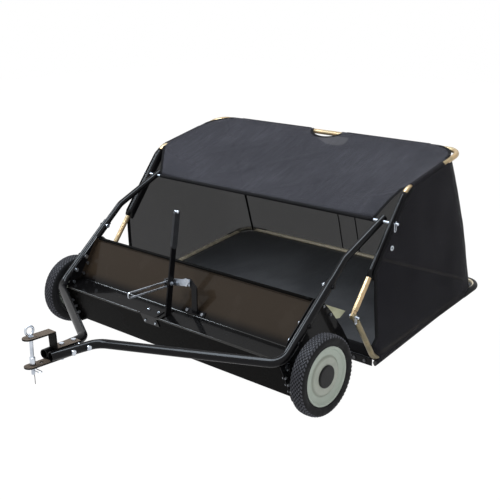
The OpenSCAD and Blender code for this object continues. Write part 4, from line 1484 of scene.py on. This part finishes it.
    def wrinkle(self, at: np.ndarray, share: float) -> float:
        """Unevenness of the hung cloth, none at the tubes.

        Args:
            at: A point of the bag.
            share: Its level, 0 at the top and 1 at the floor.

        Returns:
            Distance outwards.
        """
        free = math.sin(math.pi * share) ** 0.6 if 0 < share < 1 else 0.0
        tall = ripple((at[0] * 1.6, at[1] * 1.6, at[2] * 0.35), 6.0, 1.0) * self.tall_wave
        small = ripple(at, 17.0, 7.0) * self.small_wave
        return free * (tall + small)

    def hang_between(self, piece: bpy.types.Object) -> None:
        """Fixes a piece of the bag where it stands in the frame.

        Args:
            piece: The piece.
        """
        ahead = unit(self.rail_dir + self.floor_dir)
        down = np.array([ahead[1], -ahead[0]])
        drop = float((self.front - self.post_top) @ down)
        end = self.post_top + drop * down
        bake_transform(piece)
        log.info("%s hangs between the hopper frames", piece.name)

    def bag_tapes(self, grid: np.ndarray, outward: np.ndarray) -> None:
        """Binding of the front edges, corner seams and rear seams.

        Args:
            grid: The bag's points from the rails to the floor tubes.
            outward: Direction out of the bag at each point of a level line.
        """
        last = grid.shape[1] - 1
        corner = self.side_steps + self.seam_step
        seams = {"front_left": (0, self.tape), "corner_left": (corner, self.corner_seam)}
        seams |= {"front_right": (last, self.tape), "corner_right": (last - corner, self.corner_seam)}
        for number, x in enumerate(self.seam_x):
            column = int(np.argmin(np.abs(grid[0, :, 0] - x) + 9.0 * (grid[0, :, 1] < self.ridge[0])))
            seams[f"rear_{number}"] = (column, self.rear_seam)
        for name, (column, width) in seams.items():
            line = grid[:, column]
            ahead = np.gradient(line, axis=0)
            out = np.tile(outward[column], (len(line), 1))
            across = np.array([unit(np.cross(a, o)) for a, o in zip(ahead, out)])
            self.hang_between(binding(f"seam_{name}", line, across, out, TAPE_CLOTH, width, self.seam_t))

    def floor(self) -> None:
        """The coated floor sheet, which sags a little between the tubes."""
        half = self.low_x - self.tube_r - self.floor_gap
        start = self.front + self.floor_in * self.floor_dir
        end = self.rear - (self.tube_r + self.floor_gap) * self.floor_dir
        across = np.linspace(-1, 1, 61)
        along = np.linspace(0, 1, 45)
        grid = np.zeros((len(along), len(across), 3))
        for i, t in enumerate(along):
            base = start + (end - start) * t
            for j, u in enumerate(across):
                free = max(0.0, (1 - u**4)) * max(0.0, math.sin(math.pi * t)) ** 0.7
                wave = ripple((u * half, base[0], 0.0), 4.5, 11.0) * self.floor_wave
                height = base[1] - self.floor_drop - free * (self.floor_sag - wave)
                grid[i, j] = (u * half, base[0], height)
        sheet = thicken(cloth_grid("floor_cloth", grid, FLOOR_CLOTH), self.cloth_t)
        float(np.linalg.norm(end - start))
        tie(sheet, Body.LOWER, "floor_cloth", "floor_sheet")
        self.floor_lip(half)
        self.dark_corner_sleeves()

    def dark_corner_sleeves(self) -> None:
        """Dark sleeves over the bends of the floor tube at the rear corners, which make the bare tube darker
        there.
        """
        ahead = upright(-self.floor_dir)
        corner = upright(self.rear, self.low_x)
        run = self.bend + self.dark_sleeve_run
        line = [corner + ahead * run + ACROSS * self.dark_sleeve_out]
        for turn in np.linspace(0, math.pi / 2, 12):
            out = math.cos(turn) * ACROSS - math.sin(turn) * ahead
            at = corner + self.bend * ((1 - math.sin(turn)) * ahead - (1 - math.cos(turn)) * ACROSS)
            line.append(at + out * self.dark_sleeve_out)
        line.append(corner - ACROSS * run - ahead * self.dark_sleeve_out)
        for name, flip in SIDES:
            path = [p * np.array([flip, 1.0, 1.0]) for p in line]
            # A dark sleeve that darkens the bare tube at the corner.
            dark_sleeve = pipe(f"corner_boot_{name}", path, self.sleeve_r, BLACK_PLASTIC, 20)
            tie(dark_sleeve, Body.LOWER, "black_plastic")

    def floor_lip(self, half: float) -> None:
        """The dark strip that stands on the floor's front edge.

        Args:
            half: Half the floor's width.
        """
        across = np.linspace(-half, half, 61)
        grid = np.zeros((5, len(across), 3))
        for i, t in enumerate(np.linspace(0, 1, 5)):
            for j, x in enumerate(across):
                lean = self.lip_in + t * ripple((x, t * 0.1, 0.0), 9.0, 3.0) * self.lip_wave
                grid[i, j] = (x, self.front[0] + lean, self.front[1] - self.floor_drop + t * self.lip)
        strip = thicken(cloth_grid("floor_lip", grid, TAPE_CLOTH), self.cloth_t)
        tie(strip, Body.LOWER, "mesh_cloth")

    def post_sleeves(self) -> None:
        """Black sleeves over the upper part of the posts."""
        post_turn, rail_turn = (math.atan2(v[1], v[0]) for v in (self.post_dir, self.rail_dir))
        stop = self.post_len - self.bend * math.tan(0.5 * (post_turn - rail_turn)) + self.sleeve_past
        low, high = (self.hinge + s * self.post_dir for s in (self.sleeve_from, stop))
        low, high = (p + self.sleeve_back * self.post_back for p in (low, high))
        wide = 1.0 + self.sleeve_back / self.post_sleeve_r
        for name, side in SIDES:
            line = [upright(low + (high - low) * t, side * self.post_x) for t in np.linspace(0, 1, 12)]
            sleeve = pipe(f"post_sleeve_{name}", line, self.post_sleeve_r, BLACK_PAINT, 28, squeeze=wide)
            tie(sleeve, Body.UPPER, "black_paint")


@dataclass
class Trim:
    """Small details of the housing, the lever and the draw pin."""

    crease: Pair = (-97 * MM, 48 * MM)
    crease_r: float = 4 * MM
    knee: Pair = (-22 * MM, 67 * MM)
    skirt: Pair = (-26 * MM, -103 * MM)
    bead_r: float = 2.4 * MM
    bead_in: float = 8 * MM
    bead_gap: float = 2 * MM
    hood_top: Pair = (68.7 * MM, 216 * MM)
    trim_r: float = 7.5 * MM
    head_r: float = 5.8 * MM
    head_h: float = 4.6 * MM
    head_along: float = 28.6 * MM
    head_in: float = 14 * MM
    plate_t: float = 3.1 * MM
    ring_r: float = 14.8 * MM
    ring_wire: float = 4.0 * MM
    ring_in: float = 2.5 * MM
    clip_r: float = 9.2 * MM
    clip_h: float = 27 * MM
    clip_in: float = 1.5 * MM
    clip_lift: float = 0.3 * MM
    wire_r: float = 1.2 * MM
    wire_l: float = 34 * MM
    wire_lean: float = 5 * MM
    wire_off: float = 4 * MM
    wire_up: float = 2 * MM
    lever_lean: float = math.radians(8.5)
    cap_r: float = 11 * MM
    cap_flat: float = 0.6
    cap_steps: tuple[float, ...] = (-8 * MM, -6 * MM, -2 * MM, 0.5 * MM)

    def build(self) -> None:
        """Makes every detail."""
        self.housing()
        self.pin()
        self.lever_cap()

    def lever_cap(self) -> None:
        """The bright cap on the end of the lever's grip."""
        low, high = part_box("lever_grip")
        along = unit(np.array([0.0, math.sin(self.lever_lean), math.cos(self.lever_lean)]))
        tip = np.array([(low.x + high.x) / 2, high.y - self.cap_r, high.z])
        line = [tip + along * step for step in self.cap_steps]
        cap = pipe("lever_cap", line, self.cap_r, BRIGHT_ZINC, 24, squeeze=self.cap_flat)
        tie(cap, Body.LEVER, "bright_zinc")

    def pin(self) -> None:
        """The draw pin's stout ring, its spring clip and the wire that hangs from it."""
        low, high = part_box("draw_pin")
        strap_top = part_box("hitch_strap_lower")[1].z
        inset = self.ring_r + self.ring_in
        ring = np.array([0.0, low.y + inset, high.z - inset])
        shaft = Vector((0.0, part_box("draw_clip")[0].y + self.clip_in, strap_top + self.clip_lift))
        turns = np.linspace(0, math.tau, 40, endpoint=False)
        loop = [ring + self.ring_r * np.array([0.0, math.cos(t), math.sin(t)]) for t in turns]
        clip = [shaft + Vector((0.0, 0.0, up * self.clip_h)) for up in np.linspace(0, 1, 5)]
        tail = shaft + Vector((self.wire_off, 0.0, low.z - shaft.z + self.wire_up))
        wire = [
            tail + Vector((t * self.wire_lean + math.sin(5 * t) * MM, 0.0, -t * self.wire_l))
            for t in np.linspace(0, 1, 12)
        ]
        pieces = (
            pipe("pin_ring", loop, self.ring_wire, BRIGHT_ZINC, 16, closed=True),
            pipe("pin_clip", clip, self.clip_r, BRIGHT_ZINC, 24),
            pipe("pin_wire", wire, self.wire_r, DULL_ZINC, 8),
        )
        for piece in pieces:
            tie(piece, Body.PIN, "bright_zinc")

    def housing(self) -> None:
        """The rounded bends of hood and skirt, the hood's top trim and the heads on the lever's bracket."""
        axle = middle_of("axle_left")
        places = (self.crease, self.knee, self.skirt, self.hood_top)
        crease, knee, skirt, top = (axle + np.array(p) for p in places)
        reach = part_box("hood_panel")[1].x - self.bead_in
        line = [(x, *knee) for x in np.linspace(-reach, reach, 40)]
        tie(pipe("hood_bend", line, self.bead_r, BEND_PAINT, 20), Body.ROOT, "black_paint")
        line = [(x, *top) for x in np.linspace(-reach, reach, 40)]
        # The trim shares the skirt's darker paint.
        tie(pipe("hood_trim", line, self.trim_r, SHADED_SKIRT_PAINT, 16), Body.ROOT, "black_plastic")
        low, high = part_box("lever_bracket")
        spans = {"left": (high.x + self.bead_gap, reach), "right": (-reach, low.x - self.bead_gap)}
        for name, ends in spans.items():
            # The crease beads are paler than the black paint, partly a painted highlight.
            line = [(x, *crease) for x in np.linspace(*ends, 24)]
            bead = pipe(f"skirt_bend_{name}", line, self.crease_r, CREASE_HIGHLIGHT_PAINT, 20)
            tie(bead, Body.ROOT, "black_paint")
        number = 0
        for end, turn in ((knee, -1.0), (skirt, 1.0)):
            along = unit(end - crease)
            out = turn * np.array([along[1], -along[0]])
            foot = crease + self.head_along * along + self.plate_t * out
            for x in (low.x + self.head_in, high.x - self.head_in):
                at, away = upright(foot, x), upright(out)
                head = dome(f"bracket_head_{number}", at, away, self.head_r, self.head_h, BRIGHT_ZINC)
                tie(head, Body.ROOT, "bright_zinc")
                number += 1


@dataclass
class Wheel:
    """A driving wheel's tyre: a round carcass with rows of small tread blocks."""

    name: str
    body: Body
    steps: int = 144
    blocks: int = 58
    block_half: Point = (2.3 * MM, 4.1 * MM, 1.6 * MM)
    block_skew: float = 2.2 * MM
    block_sink: float = 1.5 * MM
    block_taper: float = 0.78
    crown: tuple[int, int] = (6, 17)
    rows: tuple[float, ...] = tuple(x * MM for x in (-21.5, -15.4, -9.2, -3.1, 3.1, 9.2, 15.4, 21.5))
    profile: tuple[Pair, ...] = (
        (-20.0, 102.5), (-23.4, 104.5), (-24.8, 108.5), (-24.4, 110.5), (-25.2, 113.0), (-25.9, 119.0),
        (-25.7, 124.0), (-24.6, 129.0), (-22.0, 132.9), (-17.0, 135.4), (-9.0, 136.8), (0.0, 137.2),
        (9.0, 136.8), (17.0, 135.4), (22.0, 132.9), (24.6, 129.0), (25.7, 124.0), (25.9, 119.0),
        (25.2, 113.0), (24.4, 110.5), (24.8, 108.5), (23.4, 104.5), (20.0, 102.5),
    )
    middle: np.ndarray = field(init=False)

    def __post_init__(self) -> None:
        """Reads the wheel's middle from the frame."""
        low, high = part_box(self.name)
        self.middle = np.array((low + high) / 2)

    def at(self, x: float, radius: float, turn: float) -> np.ndarray:
        """Point of the tyre at a place across, a radius and an angle."""
        return self.middle + np.array([x, radius * math.cos(turn), radius * math.sin(turn)])

    def build(self) -> None:
        """Makes the carcass and its tread."""
        self.carcass()
        self.tread()

    def carcass(self) -> None:
        """The turned body of the tyre."""
        count = len(self.profile)
        turns = np.linspace(0, math.tau, self.steps, endpoint=False)
        points = [self.at(x * MM, r * MM, a) for a in turns for x, r in self.profile]
        faces = []
        for i in range(self.steps):
            a, b = i * count, (i + 1) % self.steps * count
            faces += [(a + j, b + j, b + (j + 1) % count, a + (j + 1) % count) for j in range(count)]
        piece = new_piece(f"{self.name}_carcass", np.array(points), faces, TYRE_RUBBER)
        tie(piece, self.body, "tyre_rubber", self.name)

    def tread(self) -> None:
        """Rows of skewed blocks, each row turned half a step against the next."""
        across, radii = np.array(self.profile[slice(*self.crown)]).T * MM
        wide, long, high = self.block_half
        points: list[np.ndarray] = []
        faces: Faces = []
        for k, row in enumerate(self.rows):
            lean = self.block_skew * (1 if k % 2 else -1)
            for n in range(self.blocks):
                turn = math.tau * (n + 0.5 * (k % 2)) / self.blocks
                start = len(points)
                for lift, small in ((-self.block_sink, 1.0), (high * 1.7, self.block_taper)):
                    for dx, dt in ((-1, -1), (1, -1), (1, 1), (-1, 1)):
                        x = row + dx * wide * small
                        base = float(np.interp(x, across, radii))
                        slide = (dt * long * small + dx * lean) / base
                        points.append(self.at(x, base + lift, turn + slide))
                faces.append((start + 4, start + 5, start + 6, start + 7))
                faces += ring_faces(2, 4, start)
        # Painted highlight: the blocks take a paler copy of the tyre rubber.
        piece = new_piece(f"{self.name}_tread", np.array(points), faces, TREAD_HIGHLIGHT_RUBBER, smooth=False)
        tie(piece, self.body, "tyre_rubber")


@dataclass
class Brush:
    """The sweeping brush's slats and strands."""

    rows: int = 6
    lines: int = 2
    strands: int = 190
    strand_r: float = 1.5 * MM
    slat_half: float = 8 * MM
    slat_high: float = 7 * MM
    slat_lift: float = 0.2 * MM
    end_gap: float = 8 * MM
    strand_gap: float = 15 * MM
    sway: float = 2.5 * MM
    uneven: float = 1.2 * MM
    root_out: float = 2 * MM
    tip_in: float = 0.3 * MM
    black: Colour = (0.013, 0.013, 0.015)
    worn: Colour = (0.06, 0.058, 0.055)
    axis: np.ndarray = field(init=False)
    core_r: float = field(init=False)
    half: float = field(init=False)
    reach: float = field(init=False)
    finish: Finish = field(init=False)

    def __post_init__(self) -> None:
        """Reads the brush's axis and reach from the frame."""
        low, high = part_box("brush_core")
        self.axis = np.array([0.0, (low.y + high.y) / 2, (low.z + high.z) / 2])
        self.core_r = (high.z - low.z) / 2
        self.half = high.x
        low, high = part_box("brush_bristles")
        self.reach = (high.z - low.z) / 2
        self.finish = Bristle("bristle", self.black, self.worn, *self.axis[1:], self.reach)

    def at(self, turn: float, x: float, side: float, out: float) -> np.ndarray:
        """Point beside a row of the brush.

        Args:
            turn: The row's angle.
            x: Place along the brush.
            side: Distance beside the row's middle.
            out: Distance out from the axis.

        Returns:
            The point in the frame.
        """
        away = np.array([0.0, -math.sin(turn), math.cos(turn)])
        beside = np.array([0.0, math.cos(turn), math.sin(turn)])
        return self.axis + x * ACROSS + side * beside + out * away

    def build(self) -> None:
        """Makes the slats and the strands in them."""
        tie(self.slats(), Body.BRUSH, "bristle")
        tie(self.tufts(), Body.BRUSH, "bristle", "brush_bristles")

    def slats(self) -> bpy.types.Object:
        """Folded channels along the core that hold the strands.

        Returns:
            The channels as one piece.
        """
        base = self.core_r + self.slat_lift
        half = [(-1.0, 0.0), (-1.0, 0.62), (-0.8, 0.9), (-0.5, 1.0)]
        shape = half + [(-s, h) for s, h in reversed(half)]
        count = len(shape)
        points: list[np.ndarray] = []
        faces: Faces = []
        for row in range(self.rows):
            start, turn = len(points), math.tau * row / self.rows
            for x in (-self.half + self.end_gap, self.half - self.end_gap):
                points += [self.at(turn, x, s * self.slat_half, base + h * self.slat_high) for s, h in shape]
            faces += ring_faces(2, count, start)
            faces += [tuple(range(start, start + count)), tuple(range(start + count, start + 2 * count))]
        return new_piece("brush_slats", np.array(points), faces, BLACK_PLASTIC, smooth=False)

    def tufts(self) -> bpy.types.Object:
        """Tapered strands, each bent a little its own way.

        Returns:
            The strands as one piece.
        """
        chance = np.random.default_rng(7)
        span = self.half - self.strand_gap
        low = self.core_r + self.root_out
        points: list[np.ndarray] = []
        faces: Faces = []
        for row in range(self.rows):
            turn = math.tau * row / self.rows
            for line in range(self.lines):
                for k in range(self.strands):
                    x = -span + 2 * span * (k + 0.5 + 0.3 * chance.uniform(-1, 1)) / self.strands
                    side = (line - 0.5) * self.slat_half
                    sway = chance.normal(0.0, self.sway, 2)
                    top = self.reach - abs(chance.normal(0.0, self.uneven)) - self.tip_in
                    start = len(points)
                    for step, thick in ((0.0, 1.0), (0.5, 0.95), (0.85, 0.8), (1.0, 0.45)):
                        out = low + (top - low) * step
                        for corner in range(3):
                            around = 2.1 * corner + k
                            points.append(self.at(
                                turn,
                                x + sway[0] * step**2 + thick * self.strand_r * math.cos(around),
                                side + sway[1] * step**2 + thick * self.strand_r * math.sin(around),
                                out,
                            ))
                    faces += ring_faces(4, 3, start)
                    faces.append((start + 9, start + 10, start + 11))
        return new_piece("brush_strands", np.array(points), faces, self.finish)


FINISHES: Mapping[str, Finish] = {
    "black_paint": BLACK_PAINT,
    "hood_paint": HOOD_PAINT,
    "strap_steel": STRAP_STEEL,
    "bright_zinc": BRIGHT_ZINC,
    "yellow_zinc": YELLOW_ZINC,
    "grip_rubber": GRIP_RUBBER,
    "black_plastic": BLACK_PLASTIC,
    "tyre_rubber": TYRE_RUBBER,
    "rim_plastic": RIM_PLASTIC,
    "bristle": BLACK_PLASTIC,
    "mesh_cloth": MESH_CLOTH,
    "floor_cloth": FLOOR_CLOTH,
}
NODE_FINISHES: Mapping[str, Finish] = {
    # Painted shade: the skirt takes a darker copy of the black paint.
    "front_skirt": SHADED_SKIRT_PAINT,
    "bar_bolts": DULL_ZINC,
    "sheet_bolts": SHEET_ZINC,
    "frame_bolts": FRAME_ZINC,
    "lower_frame": OLIVE_ZINC,
    "stop_bracket_left": PALE_ZINC,
    "stop_bracket_right": PALE_ZINC,
}


def dress(frame: Mapping[str, object]) -> None:
    """Gives each solid of the frame the finish of its slot.

    Args:
        frame: The loaded frame.
    """
    for part in frame["record"]["subparts"]:
        solid = frame["nodes"][part["node"]]
        for place in solid.material_slots:
            place.material = NODE_FINISHES.get(part["node"], FINISHES[part["material_slot"]]).material()
        log.info("%s: %s", part["node"], part["material_slot"])


def main() -> None:
    """Builds the dressed sweeper on its frame."""
    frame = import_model()
    Studio().build()
    dress(frame)
    Hopper().build()
    Trim().build()
    Wheel("tyre_left", Body.LEFT_WHEEL).build()
    Wheel("tyre_right", Body.RIGHT_WHEEL).build()
    Brush().build()


if __name__ == "__main__":
    main()
